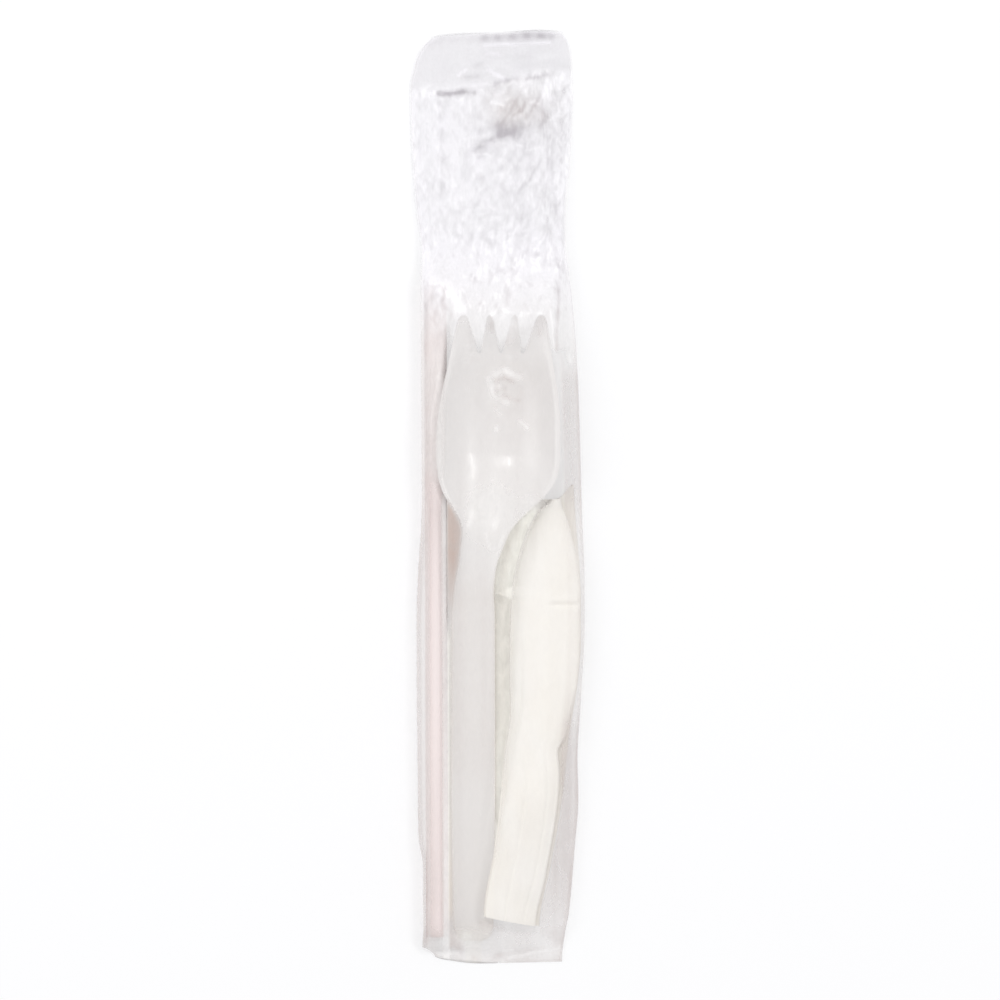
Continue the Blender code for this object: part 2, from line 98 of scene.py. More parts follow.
def creases(x, y, seed):
    # sharp winding crests between soft hollows, from 0 in a hollow to 1 on a crest
    bentX = x + 0.8 * softNoise(0.7 * x + 4, 0.7 * y, seed + 50)
    bentY = y + 0.8 * softNoise(0.7 * x, 0.7 * y + 7, seed + 60)
    return np.clip(1 - 2.0 * np.abs(softNoise(bentX, bentY, seed)), 0, 1)


def stroke(x, y, width, points):
    # one along a line through the points, fading to nought beside it
    nearest = np.full(np.shape(x), 99.0)
    for (ax, ay), (bx, by) in zip(points, points[1:]):
        t = np.clip(((x - ax) * (bx - ax) + (y - ay) * (by - ay)) / ((bx - ax) ** 2 + (by - ay) ** 2), 0, 1)
        nearest = np.minimum(nearest, np.hypot(x - ax - t * (bx - ax), y - ay - t * (by - ay)))
    return np.exp(-((nearest / width) ** 2))


def gridOf(rows, columns):
    bm = bmesh.new()
    bmesh.ops.create_grid(bm, x_segments=columns - 1, y_segments=rows - 1, size=1)
    rowOf = bm.verts.layers.int.new("row")
    columnOf = bm.verts.layers.int.new("column")
    for vert in bm.verts:
        vert[columnOf] = round((vert.co.x + 1) / 2 * (columns - 1))
        vert[rowOf] = round((vert.co.y + 1) / 2 * (rows - 1))
    return bm, rowOf, columnOf


def sheetBetween(lower, upper, isHole=None):
    # a grid shaped to the lower side, its holes taken out, then extruded to the upper side
    bm, rowOf, columnOf = gridOf(*lower.shape[:2])
    if isHole:
        holes = [
            face for face in bm.faces
            if isHole(min(v[rowOf] for v in face.verts), min(v[columnOf] for v in face.verts))
        ]
        bmesh.ops.delete(bm, geom=holes, context="FACES")
    first = list(bm.verts)
    made = bmesh.ops.extrude_face_region(bm, geom=list(bm.faces), use_keep_orig=True)
    second = [item for item in made["geom"] if isinstance(item, bmesh.types.BMVert)]
    for vert in first:
        vert.co = lower[vert[rowOf], vert[columnOf]]
    for vert in second:
        vert.co = upper[vert[rowOf], vert[columnOf]]
    return bm


def finishPiece(name, bm, look, sharp, replaced):
    bmesh.ops.translate(bm, vec=(shiftX, shiftY, 0), verts=bm.verts)
    bmesh.ops.scale(bm, vec=(0.001,) * 3, verts=bm.verts)
    bmesh.ops.recalc_face_normals(bm, faces=bm.faces)
    mesh = bpy.data.meshes.new(name)
    bm.to_mesh(mesh)
    bm.free()
    piece = bpy.data.objects.new(name, mesh)
    bpy.context.scene.collection.objects.link(piece)
    mesh.materials.append(look)
    mesh.shade_smooth()
    mesh.set_sharp_from_angle(angle=math.radians(sharp))
    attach(piece, "root")
    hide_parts(replaced)
    print(name, "made,", len(mesh.polygons), "faces")
    return piece


def nodesOf(name):
    look = bpy.data.materials.new(name)
    look.use_nodes = True
    tree = look.node_tree
    shader = tree.nodes["Principled BSDF"]

    def add(kind, values=None, **settings):
        node = tree.nodes.new(kind)
        for key, value in settings.items():
            setattr(node, key, value)
        for key, value in (values or {}).items():
            node.inputs[key].default_value = value
        return node

    return look, shader, add, tree.links.new


def mottleGroup():
    # stretched soft clouds and fine grain, for colour, roughness and relief
    group = bpy.data.node_groups.new("mottle", "ShaderNodeTree")
    face = group.interface
    for label, start in (("Clouds", 60.0), ("Grain", 900.0), ("Stretch", 4.0)):
        face.new_socket(label, in_out="INPUT", socket_type="NodeSocketFloat").default_value = start
    for label in ("Cloud", "Speck", "Height"):
        face.new_socket(label, in_out="OUTPUT", socket_type="NodeSocketFloat")
    nodes, join = group.nodes, group.links.new
    entry, leave = nodes.new("NodeGroupInput"), nodes.new("NodeGroupOutput")
    place = nodes.new("ShaderNodeTexCoord")
    squeeze = nodes.new("ShaderNodeVectorMath")
    squeeze.operation = "MULTIPLY"
    along = nodes.new("ShaderNodeCombineXYZ")
    inverse = nodes.new("ShaderNodeMath")
    inverse.operation = "DIVIDE"
    inverse.inputs[0].default_value = 1.0
    join(entry.outputs["Stretch"], inverse.inputs[1])
    along.inputs["X"].default_value = 1.0
    along.inputs["Z"].default_value = 1.0
    join(inverse.outputs[0], along.inputs["Y"])
    join(place.outputs["Object"], squeeze.inputs[0])
    join(along.outputs[0], squeeze.inputs[1])
    clouds, grain = nodes.new("ShaderNodeTexNoise"), nodes.new("ShaderNodeTexNoise")
    for node, label, detail in ((clouds, "Clouds", 3.0), (grain, "Grain", 5.0)):
        join(squeeze.outputs[0], node.inputs["Vector"])
        join(entry.outputs[label], node.inputs["Scale"])
        node.inputs["Detail"].default_value = detail
    mixed = nodes.new("ShaderNodeMath")
    mixed.operation = "MULTIPLY_ADD"
    mixed.inputs[1].default_value = 0.35
    join(grain.outputs["Fac"], mixed.inputs[0])
    join(clouds.outputs["Fac"], mixed.inputs[2])
    join(clouds.outputs["Fac"], leave.inputs["Cloud"])
    join(grain.outputs["Fac"], leave.inputs["Speck"])
    join(mixed.outputs[0], leave.inputs["Height"])
    return group


mottle = mottleGroup()


def mottled(name, finish):
    # a material whose colour, roughness and relief follow the mottle group
    look, shader, add, join = nodesOf(name)
    spots = add("ShaderNodeGroup", node_tree=mottle)
    for label in ("Clouds", "Grain", "Stretch"):
        spots.inputs[label].default_value = finish[label.lower()]
    colours = add("ShaderNodeMix", data_type="RGBA")
    colours.inputs["A"].default_value = (*finish["dark"], 1)
    colours.inputs["B"].default_value = (*finish["light"], 1)
    spread = add("ShaderNodeMapRange", {"From Min": 0.3, "From Max": 0.7})
    join(spots.outputs["Cloud"], spread.inputs["Value"])
    join(spread.outputs["Result"], colours.inputs["Factor"])
    join(colours.outputs["Result"], shader.inputs["Base Color"])
    low, high = finish["rough"]
    gloss = add("ShaderNodeMapRange", {"From Min": 0.3, "From Max": 0.7, "To Min": low, "To Max": high})
    join(spots.outputs["Speck"], gloss.inputs["Value"])
    join(gloss.outputs["Result"], shader.inputs["Roughness"])
    bump = add("ShaderNodeBump", {"Strength": finish["relief"], "Distance": finish["reliefDepth"]})
    join(spots.outputs["Height"], bump.inputs["Height"])
    join(bump.outputs["Normal"], shader.inputs["Normal"])
    shader.inputs["Specular IOR Level"].default_value = finish["shine"]
    return look


# The straw: a thin tube beside the handle
straw = {
    "length": 150.6,
    "radius": 2.6,
    "wall": 0.3,
    "bottomX": -14.05,
    "topX": -14.54,
    "bottomY": -101.5,
    "sides": 72,
    "rings": 60,
    "dark": (0.895, 0.79, 0.77),
    "light": (0.93, 0.835, 0.81),
    "clouds": 300,
    "grain": 2400,
    "stretch": 30,
    "rough": (0.5, 0.62),
    "relief": 0.08,
    "reliefDepth": 0.0001,
    "shine": 0.2,
}
strawZ = contentsFloor + straw["radius"]
strawTopY = straw["bottomY"] + straw["length"]


def strawX(y):
    share = (y - straw["bottomY"]) / straw["length"]
    return straw["bottomX"] + (straw["topX"] - straw["bottomX"]) * share


def makeStraw():
    bm = bmesh.new()
    for radius in (straw["radius"], straw["radius"] - straw["wall"]):
        bmesh.ops.create_circle(bm, segments=straw["sides"], radius=radius)
    bmesh.ops.bridge_loops(bm, edges=list(bm.edges))
    step = straw["length"] / straw["rings"]
    section = list(bm.faces)
    for number in range(straw["rings"]):
        made = bmesh.ops.extrude_face_region(bm, geom=section, use_keep_orig=number == 0)
        moved = [item for item in made["geom"] if isinstance(item, bmesh.types.BMVert)]
        bmesh.ops.translate(bm, vec=(0, 0, step), verts=moved)
        section = [item for item in made["geom"] if isinstance(item, bmesh.types.BMFace)]
    for vert in bm.verts:
        y = straw["bottomY"] + vert.co.z
        vert.co = (strawX(y) + vert.co.x, y, strawZ + vert.co.y)
    return finishPiece("drinkingStraw", bm, mottled("pinkPlastic", straw), 40, "straw")


# The spork: an outline, a rim height and a section at each distance from the tine tips
spork = {
    "length": 144.8,
    "tipY": 42.0,
    "wall": 0.9,
    "depth": 5.8,
    "halfWidth": 14.3,
    "squareness": 2.7,
    "flangeShare": 0.07,
    "tineLength": 8.7,
    "rootHalf": 0.5,
    "mouthHalf": 2.35,
    "flare": 0.35,
    "rootPitch": 5.0,
    "mouthPitch": 5.8,
    "handleX": -5.7,
    "neckShift": 5.75,
    "neckStart": 34.5,
    "neckEnd": 65.7,
    "shoulder": 45.0,
    "lean": 0.033,
    "handleHeight": 1.6,
    "edgeRound": 0.16,
    "tineColumns": 9,
    "gapColumns": 4,
    "dark": (0.826, 0.807, 0.785),
    "light": (0.876, 0.860, 0.839),
    "clouds": 70,
    "grain": 1500,
    "stretch": 5,
    "rough": (0.2, 0.28),
    "relief": 0.05,
    "reliefDepth": 0.0002,
    "shine": 0.55,
}
rimTop = contentsFloor + spork["wall"] + spork["depth"]
handleTop = contentsFloor + spork["handleHeight"]
troughDepth = spork["handleHeight"] - spork["wall"]
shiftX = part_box("straw")[0].x * 1000 - (straw["topX"] - straw["radius"])
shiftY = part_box("spork")[1].y * 1000 - spork["tipY"]

widthShare = lineThrough(
    (
        (0.0, 0.655), (0.7, 0.7), (5.0, 0.765), (11.6, 0.85), (19.4, 0.951), (26.4, 0.996), (32.2, 1.0),
        (36.8, 0.967), (40.7, 0.854), (43.8, 0.688), (47.5, 0.478), (50.2, 0.389), (53.9, 0.348),
        (57.6, 0.315), (63.4, 0.328), (69.5, 0.348), (88.9, 0.352), (112.0, 0.356), (135.2, 0.336),
        (141.0, 0.325), (143.2, 0.285), (144.3, 0.215), (144.8, 0.13),
    )
)
depthShare = lineThrough(
    (
        (0.0, 0.1), (8.6, 0.5), (14.0, 0.82), (20.0, 0.96), (26.0, 1.0), (31.5, 0.985), (34.0, 0.93),
        (37.0, 0.8), (50.0, 0.155), (52.0, troughDepth / spork["depth"]),
        (144.8, troughDepth / spork["depth"]),
    )
)


def sporkMiddle(along):
    bend = 1 - ease((along - spork["neckStart"]) / (spork["neckEnd"] - spork["neckStart"]))
    return spork["handleX"] + spork["neckShift"] * bend + spork["lean"] * np.maximum(0.0, 28.7 - along)


def sporkHalf(along):
    return spork["halfWidth"] * widthShare(along)


def sporkRim(along):
    down = np.clip((along - spork["shoulder"]) / (spork["length"] - spork["shoulder"]), 0.0, 1.0)
    tips = 0.5 * np.clip((11.6 - along) / 11.6, 0.0, 1.0) ** 2
    return rimTop - (rimTop - handleTop) * down - tips


def sporkSection(along, share):
    inner = 1 - spork["flangeShare"]
    depth = spork["depth"] * depthShare(along)
    power = spork["squareness"]
    reach = np.minimum(np.abs(share) / inner, 1.0)
    over = depth * (1 - reach**power)
    slope = np.where(reach < 1.0, depth * power * reach ** (power - 1) / (inner * sporkHalf(along)), 0.0)
    under = over + spork["wall"] * np.sqrt(1 + np.minimum(slope, 1.2) ** 2)
    return over, np.minimum(under, np.maximum(depth, troughDepth) + spork["wall"])


def gapHalf(along):
    straight = spork["tineLength"] - spork["rootHalf"]
    share = np.clip(along / straight, 0.0, 1.0)
    wide = spork["mouthHalf"] + (spork["rootHalf"] - spork["mouthHalf"]) * share
    wide += spork["flare"] * np.clip(1 - along / (2 * spork["flare"]), 0.0, 1.0)
    left = np.clip((along - straight) / spork["rootHalf"], 0.0, 1.0)
    return wide * np.sqrt(1 - left**2)


def makeSpork():
    tineColumns, gapColumns = spork["tineColumns"], spork["gapColumns"]
    nearTips = [0.0, 0.08, 0.2, 0.4, 0.7, 1.1]
    tines = list(np.linspace(1.6, spork["tineLength"] - spork["rootHalf"], 18))
    root = [spork["tineLength"] - spork["rootHalf"] * back for back in (0.8, 0.6, 0.4, 0.22, 0.08, 0.0)]
    bowlRows = list(np.linspace(spork["tineLength"] + 0.15, 62, 120))
    handleRows = list(np.linspace(63, spork["length"] - 4, 80))
    endRows = [spork["length"] - back for back in (3.4, 2.8, 2.2, 1.7, 1.2, 0.8, 0.5, 0.25, 0.1, 0.0)]
    stations = np.array(nearTips + tines + root + bowlRows + handleRows + endRows)
    rootRow = len(nearTips) + len(tines) + len(root) - 1

    # Across: four tines with three gaps between them, easing to even columns below the roots
    columns = 4 * tineColumns + 3 * gapColumns + 1
    even = np.linspace(-1, 1, columns)
    even = np.sign(even) * (1 - (1 - np.abs(even)) ** 1.25)  # finer towards the rims
    lower, upper = [], []
    for along in stations:
        half, middle = float(sporkHalf(along)), float(sporkMiddle(along))
        inTines = min(along, spork["tineLength"])
        toRoot = inTines / spork["tineLength"]
        centre = spork["mouthPitch"] + (spork["rootPitch"] - spork["mouthPitch"]) * toRoot
        gap = float(gapHalf(inTines))
        edges = [-half]
        for k in (-1, 0, 1):
            edges += [k * centre - gap, k * centre + gap]
        edges.append(half)
        x = [-half]
        for k in range(7):
            count = tineColumns if k % 2 == 0 else gapColumns
            x += list(np.linspace(edges[k], edges[k + 1], count + 1))[1:]
        spread = ease((along - spork["tineLength"]) / 9.0)
        x = np.array(x) * (1 - spread) + even * half * spread
        over, under = sporkSection(along, x / half)
        y = np.full(columns, spork["tipY"] - along)
        upper.append(np.stack([middle + x, y, sporkRim(along) - over], axis=1))
        lower.append(np.stack([middle + x, y, sporkRim(along) - under], axis=1))
    gapStarts = [(k + 1) * tineColumns + k * gapColumns for k in range(3)]

    def isGap(row, column):
        return row < rootRow and any(start <= column < start + gapColumns for start in gapStarts)

    bm = sheetBetween(np.array(lower), np.array(upper), isGap)
    loose = [vert for vert in bm.verts if not vert.link_faces]
    bmesh.ops.delete(bm, geom=loose, context="VERTS")
    bmesh.ops.remove_doubles(bm, verts=bm.verts, dist=0.001)
    bmesh.ops.recalc_face_normals(bm, faces=bm.faces)
    corner = math.radians(55)
    rims = [edge for edge in bm.edges if len(edge.link_faces) == 2 and edge.calc_face_angle() > corner]
    bmesh.ops.bevel(
        bm, geom=rims, offset=spork["edgeRound"], offset_type="OFFSET", affect="EDGES",
        segments=2, profile=0.5, material=-1, clamp_overlap=True,
    )
    return finishPiece("fourTineSpork", bm, mottled("milkyPlastic", spork), 60, "spork")


# The napkin: one folded strip, its wide lowest ply under a narrower roll of three
napkin = {
    "ply": 0.55,
    "pitch": 0.9,
    "crown": 1.0,
    "topY": -0.4,
    "bottomY": -98.0,
    "tabReach": 4.5,
    "cornerRise": 3.4,
    "overlapStart": -60.0,
    "overlapEase": 15.0,
    "endSlant": 0.2,
    "dark": (0.945, 0.915, 0.845),
    "light": (0.975, 0.955, 0.90),
    "clouds": 140,
    "grain": 3000,
    "stretch": 2.2,
    "rough": (0.85, 0.98),
    "relief": 0.3,
    "reliefDepth": 0.0002,
    "shine": 0.2,
}
rollLeft = lineThrough(
    (
        (-0.4, 12.1), (-3.4, 8.7), (-11.2, 5.2), (-20.7, 3.0), (-26.0, 2.6), (-37.6, 2.3),
        (-49.4, 2.6), (-58.2, 1.4), (-72.8, 0.25), (-81.6, -0.95), (-98.0, -3.25),
    )
)
rollRight = lineThrough(
    (
        (-0.4, 14.6), (-8.2, 16.7), (-15.6, 18.5), (-23.0, 19.2), (-33.0, 19.2), (-42.0, 18.5),
        (-49.4, 16.9), (-55.2, 15.7), (-58.7, 13.9), (-64.0, 14.3), (-69.8, 13.9), (-86.7, 11.1),
        (-98.0, 8.7),
    )
)
underRight = lineThrough(
    (
        (-0.4, 17.6), (-15.6, 18.9), (-23.0, 19.2), (-33.0, 19.2), (-42.0, 18.6),
        (-55.2, 16.5), (-69.8, 14.9), (-83.9, 12.5), (-98.0, 9.6),
    )
)
underLeft = lineThrough(((-0.4, -1.6), (-66.0, -1.6), (-82.0, 0.4), (-98.0, 0.8)))


def napkinLift(y):
    need = (sporkRim(spork["tipY"] - y) + 0.35 - contentsFloor - napkin["pitch"]) / 0.78
    return max(0.0, need) * ease((napkin["overlapStart"] - y) / napkin["overlapEase"])


def napkinLine(y):
    left, right = float(rollLeft(y)), float(rollRight(y))
    far = max(float(underRight(y)), right)
    lift = float(napkinLift(y))
    turn = napkin["pitch"] / 2
    inset = turn + napkin["ply"] / 2
    middle, half = (left + right) / 2, (right - left) / 2
    base = contentsFloor + napkin["ply"] / 2

    def height(x, level):
        raised = lift * np.clip((right - x) / (right - left), 0.0, 1.0) * (level > 0)
        dome = napkin["crown"] * level / 3 * np.maximum(0.0, 1 - ((x - middle) / half) ** 2)
        return base + napkin["pitch"] * level + raised + dome

    def run(start, end, level, count):
        x = np.linspace(start, end, count)
        return list(zip(x, height(x, level)))

    def fold(x, level, side):
        low, high = float(height(x, level)), float(height(x, level + 1))
        centre, radius = (low + high) / 2, (high - low) / 2
        angles = np.radians(np.linspace(-72, 72, 7))
        return [(x + side * turn * math.cos(a), centre + radius * math.sin(a)) for a in angles]

    line = run(float(underLeft(y)), far - inset, 0, 16)
    line += fold(far - inset, 0, 1)
    line += run(far - inset, left + inset, 1, 14)
    line += fold(left + inset, 1, -1)
    line += run(left + inset, right - inset, 2, 14)
    line += fold(right - inset, 2, 1)
    top = np.array(run(right - inset, left + 0.5, 3, 44))
    reach = napkin["tabReach"] * max(0.0, 1 - abs(y + 22.1) / 1.7) ** 1.4
    near = ease((left + 5.0 - top[:, 0]) / 4.5)
    top[:, 0] -= reach * near
    top[:, 1] += 0.1 * reach * near
    across = (top[:, 0] - middle) / half
    crease = ease((across + 0.1) / 0.5) * (1 - 0.4 * ease((across - 0.8) / 0.2))
    top[:, 1] -= 0.42 * crease * math.exp(-(((y + 24.9) / 0.55) ** 2))
    top[:, 1] += 0.2 * crease * math.exp(-(((y + 23.6) / 0.7) ** 2))
    x = top[:, 0]
    top[:, 1] -= 0.4 * hill(x, y, 5.2, -46.4, 1.5, 2.2)
    top[:, 1] += 0.10 * softNoise(x / 2.6, y / 26, 3) + 0.07 * softNoise(x / 1.3 + 4, y / 9, 4)
    top[:, 1] += 0.05 * softNoise(x / 5.0, y / 3.5, 5)
    lengthwise = softNoise(across * 2.6 + 3, np.full_like(x, y / 40), 6)
    top[:, 1] -= 0.16 * np.clip(1 - 4 * np.abs(lengthwise), 0, 1) * ease((-30 - y) / 12)
    return np.array(line + [tuple(point) for point in top])


def makeNapkin():
    stations = list(np.linspace(napkin["topY"], -19.0, 44))
    stations += list(np.linspace(-19.3, -27.0, 40))
    stations += list(np.linspace(-27.5, napkin["bottomY"], 120))
    cornerX = float(underRight(napkin["topY"])) - 4.0
    lower, upper = [], []
    for y in stations:
        line = napkinLine(y)
        along = np.gradient(line, axis=0)
        normal = np.stack([-along[:, 1], along[:, 0]], axis=1)
        normal /= np.linalg.norm(normal, axis=1)[:, None]
        nearBottom = ease((napkin["bottomY"] + 18.0 - y) / 18.0)
        nearTop = ease((y - napkin["topY"] + 14.0) / 14.0)
        slant = -napkin["endSlant"] * (line[:, 0] - float(rollLeft(y)) - 6.0) * nearBottom
        slant += napkin["cornerRise"] * ease((line[:, 0] - cornerX) / 4.0) * nearTop
        for side, rows in ((1, upper), (-1, lower)):
            moved = line + side * napkin["ply"] / 2 * normal
            rows.append(np.stack([moved[:, 0], y + slant, moved[:, 1]], axis=1))
    bm = sheetBetween(np.array(lower), np.array(upper))
    return finishPiece("foldedNapkin", bm, mottled("tissuePaper", napkin), 70, "napkin")


# The film sleeve: one closed tube, draped over what is inside and crinkled where it is empty
film = {
    "length": 215.0,
    "wall": 0.25,
    "skin": 0.55,
    "sealTop": 12.0,
    "sealBottom": 3.1,
    "endRoom": 5.0,
    "farRoom": 16.0,
    "clearance": 0.14,
    "leastRise": 0.9,
    "napkinRise": 2.2,
    "cutHeight": 0.16,
    "smoothings": 14,
    "frontColumns": 172,
    "backColumns": 36,
    "rowPlaces": (10.0, 34.0),
    "rowCounts": (9, 126, 50, 224),
    "shadeRanges": {"veil": (0.03, 0.9), "tone": (0.0, 1.0), "warmth": (0.0, 2.0)},
    "seamLeft": 3.0,
    "seamRight": 9.0,
    "roughness": 0.28,
    "coat": 0.15,
    "coatRoughness": 0.2,
    "coolPale": (0.955, 0.935, 0.968),
    "warmPale": (0.955, 0.935, 0.91),
    "coolGrey": (0.445, 0.42, 0.445),
    "warmGrey": (0.465, 0.372, 0.345),
    # grey strokes, dark crease and pleat lines and some painted shadow: strength, half width, then the
    # points that each runs through
    "creaseAndShadowStrokes": (
        (2.4, 0.60, (-13.9, 93.8), (-11.0, 93.7), (-8.3, 94.2)),
        (1.0, 0.55, (-7.8, 94.1), (-4.6, 93.9)),
        (0.6, 0.50, (-7.9, 97.6), (-4.6, 97.8)),
        (0.6, 0.65, (-5.0, 100.2), (-3.8, 100.8)),
        (1.1, 0.60, (-0.7, 96.0), (1.9, 96.9)),
        (1.0, 0.50, (2.8, 96.9), (5.1, 97.3)),
        (1.5, 0.60, (6.7, 97.2), (11.3, 98.2)),
        (1.1, 0.90, (0.6, 83.6), (3.0, 84.6), (5.6, 85.6)),
        (1.2, 0.75, (1.6, 85.0), (-2.8, 82.0), (-7.2, 79.3)),
        (0.8, 0.60, (-2.4, 81.0), (-5.6, 77.2)),
        (0.5, 0.80, (-4.0, 84.6), (0.6, 86.0)),
        (0.8, 1.20, (8.8, 91.5), (10.8, 88.0)),
        (1.2, 1.00, (0.8, 84.6), (2.4, 84.0), (4.6, 83.8)),
        (0.6, 1.20, (0.2, 86.4), (3.0, 86.2)),
        (0.6, 0.60, (10.6, 81.0), (11.8, 77.5), (12.5, 74.7)),
        (0.5, 0.50, (9.8, 93.0), (10.6, 89.0), (10.0, 86.0)),
        (0.45, 0.75, (-13.6, 92.0), (-13.0, 84.0), (-12.8, 76.0), (-12.4, 70.0)),
        (0.8, 0.45, (11.1, 60.6), (13.3, 57.6), (14.1, 52.7), (14.0, 45.7), (13.6, 38.5), (13.5, 34.0)),
        (0.5, 0.45, (12.5, 74.0), (13.6, 66.0), (14.4, 61.0)),
        (0.6, 0.70, (0.7, 52.4), (3.0, 50.8), (5.4, 53.8)),
        (0.5, 0.50, (3.6, 48.2), (0.8, 42.7)),
        (0.5, 0.45, (2.3, 57.2), (3.0, 55.8)),
        (0.55, 0.55, (5.6, 57.4), (7.6, 56.4), (9.5, 57.0)),
        (0.5, 0.50, (-14.1, 47.8), (-12.2, 44.5), (-10.4, 41.6)),
        (0.8, 0.60, (-1.45, 42.0), (-1.4, 38.4)),
        (0.5, 0.70, (3.2, 39.2), (2.4, 35.4)),
        (0.6, 0.65, (9.9, 41.0), (9.5, 37.4)),
        (1.0, 0.55, (-0.3, 27.0), (1.6, 27.6), (3.5, 26.6)),
        (0.6, 0.50, (-0.2, 24.7), (1.6, 25.0)),
        (0.8, 0.60, (1.2, 23.4), (4.6, 22.3)),
        (0.6, 0.50, (-10.9, -103.6), (-8.4, -104.8)),
        (0.45, 0.50, (-16.3, -101.9), (-11.5, -101.7)),
        (0.45, 0.60, (-5.9, -106.7), (-5.3, -107.0)),
        (0.5, 0.60, (-0.9, -106.9), (0.9, -106.0)),
        (0.5, 0.35, (2.0, -107.7), (8.0, -107.7), (14.3, -107.4)),
        (0.4, 0.30, (-0.2, -106.3), (6.0, -105.2), (13.8, -103.7)),
        # painted shadow under the napkin's bottom edge
        (0.85, 0.80, (-3.9, -98.2), (-1.5, -98.7), (0.9, -99.4)),
    ),
    # painted glints and highlights: white strokes, given in the same way
    "paintedGlintStrokes": (
        (0.8, 0.50, (-15.6, 93.8), (-14.9, 93.9)),
        (0.3, 0.45, (-8.8, 95.3), (-2.5, 96.1)),
        (0.6, 0.50, (-9.3, 98.0), (-7.4, 99.4)),
        (0.7, 0.50, (-1.9, 99.2), (1.2, 97.2)),
        (0.8, 0.30, (-3.2, 105.0), (12.0, 105.6)),
        (0.5, 0.40, (-2.5, 103.1), (0.5, 102.7)),
        (0.7, 0.40, (-1.6, 91.6), (1.4, 91.0)),
        (0.4, 0.80, (11.0, 94.5), (12.6, 92.2)),
        (0.4, 0.45, (10.6, 93.6), (9.2, 91.6), (8.0, 91.2)),
        (0.4, 0.60, (-0.6, 93.4), (1.6, 94.2)),
        (0.9, 1.00, (-11.8, 49.4), (-8.3, 43.0)),
        (0.9, 0.70, (16.4, 32.9), (16.8, 31.6)),
        (0.3, 0.45, (-7.5, 31.6), (-5.5, 33.1)),
        (0.25, 0.45, (-7.2, 34.7), (-5.8, 35.2)),
        (0.72, 0.90, (-0.6, 28.2), (0.7, 29.3), (1.8, 29.1)),
        (0.75, 0.90, (3.0, 28.5), (3.8, 28.0), (5.0, 27.8)),
        (0.42, 0.80, (-2.5, 27.6), (-1.7, 25.8)),
        (0.8, 0.85, (-0.4, 25.9), (0.1, 25.7)),
        (0.7, 0.70, (-1.5, 24.9), (-1.1, 23.6), (0.7, 22.5), (2.2, 21.8)),
        (0.55, 0.60, (-0.8, 20.5), (0.4, 19.2)),
        (0.7, 0.60, (4.9, 17.6), (6.8, 16.0)),
        (0.8, 0.65, (-0.4, 16.0), (-0.2, 15.6)),
        (0.2, 0.60, (2.4, 32.4), (4.2, 32.0)),
        (0.35, 0.35, (-2.9, -8.6), (-1.6, -12.4), (0.2, -11.6), (1.0, -9.4)),
        (0.7, 0.60, (-15.1, -103.0), (-12.0, -102.8)),
        (0.7, 0.45, (-13.9, -105.9), (-9.3, -105.8)),
        (0.7, 0.40, (1.2, -105.2), (3.4, -104.8)),
        (0.7, 0.40, (2.4, -107.0), (8.0, -105.6), (14.2, -104.6)),
        (0.5, 0.45, (-0.5, -100.1), (0.2, -100.2)),
    ),
}
topEnd, bottomEnd = film["length"] / 2, -film["length"] / 2
sealLow, sealHigh = bottomEnd + film["sealBottom"], topEnd - film["sealTop"]
leftEdge = lineThrough(
    (
        (107.5, -15.6), (105.9, -17.2), (103.1, -18.8), (100.1, -19.7), (94.3, -20.7), (85.1, -20.4),
        (68.9, -19.4), (59.6, -18.1), (52.7, -17.2), (45.7, -16.8), (22.6, -17.5), (-5.2, -17.8),
        (-16.8, -18.5), (-28.4, -18.9), (-70.0, -18.6), (-79.0, -18.4), (-84.0, -17.5), (-95.5, -17.2),
        (-101.3, -17.4), (-104.5, -17.6), (-107.5, -14.6),
    )
)
rightEdge = lineThrough(
    (
        (107.5, 15.0), (105.9, 16.4), (103.1, 17.1), (94.3, 17.5), (77.0, 16.7), (68.9, 15.9), (59.6, 15.7),
        (45.7, 17.1), (34.2, 18.1), (22.6, 18.7), (-5.2, 19.5), (-16.8, 20.0), (-28.4, 20.1), (-46.9, 19.2),
        (-60.8, 18.4), (-70.0, 18.6), (-80.5, 17.8), (-95.5, 16.5), (-101.3, 15.5), (-107.5, 14.8),
    )
)
topCut = lineThrough(
    ((-17, -1.0), (-13.4, 0.0), (-7.6, 0.45), (0.5, 0.6), (9.7, 1.2), (14.4, 0.8), (17, -0.3))
)
bottomCut = lineThrough(((-18, 2.6), (-13.4, 0.4), (-4.2, -0.7), (0.5, -0.6), (15, -0.3)))
# how grey the film along each long edge looks: doubled film, and painted shade of its steep sides and of
# the floor beside the contents
rightBandShade = lineThrough(
    (
        (-103, 0.4), (-96, 0.7), (-86, 0.95), (-70, 1.0), (-58, 1.0), (-51, 0.7), (-42, 0.25), (-20, 0.25),
        (-6, 0.5), (2, 0.8), (14, 0.80), (26, 0.80), (30, 0.45), (34, 0.1), (46, 0.0), (60, 0.0),
    )
)
leftBandShade = lineThrough(
    ((-103, 0.5), (-60, 0.6), (0, 0.7), (6, 1.1), (28, 1.3), (42, 1.3), (54, 0.6), (70, 0.25), (92, 0.2))
)
leftReach = lineThrough(((-103, 4.2), (-4, 4.4), (8, 6.0), (34, 6.4), (44, 7.4), (56, 3.4), (92, 3.0)))
# painted shade: how dark the crevice between the straw and the handle looks
crevice = lineThrough(
    (
        (-105.2, 0.0), (-103.2, 0.35), (-92, 0.45), (-78, 0.25), (-60, 0.15), (-35, 0.15),
        (-20, 0.85), (-12, 1.05), (0, 1.0), (4, 0.0),
    )
)


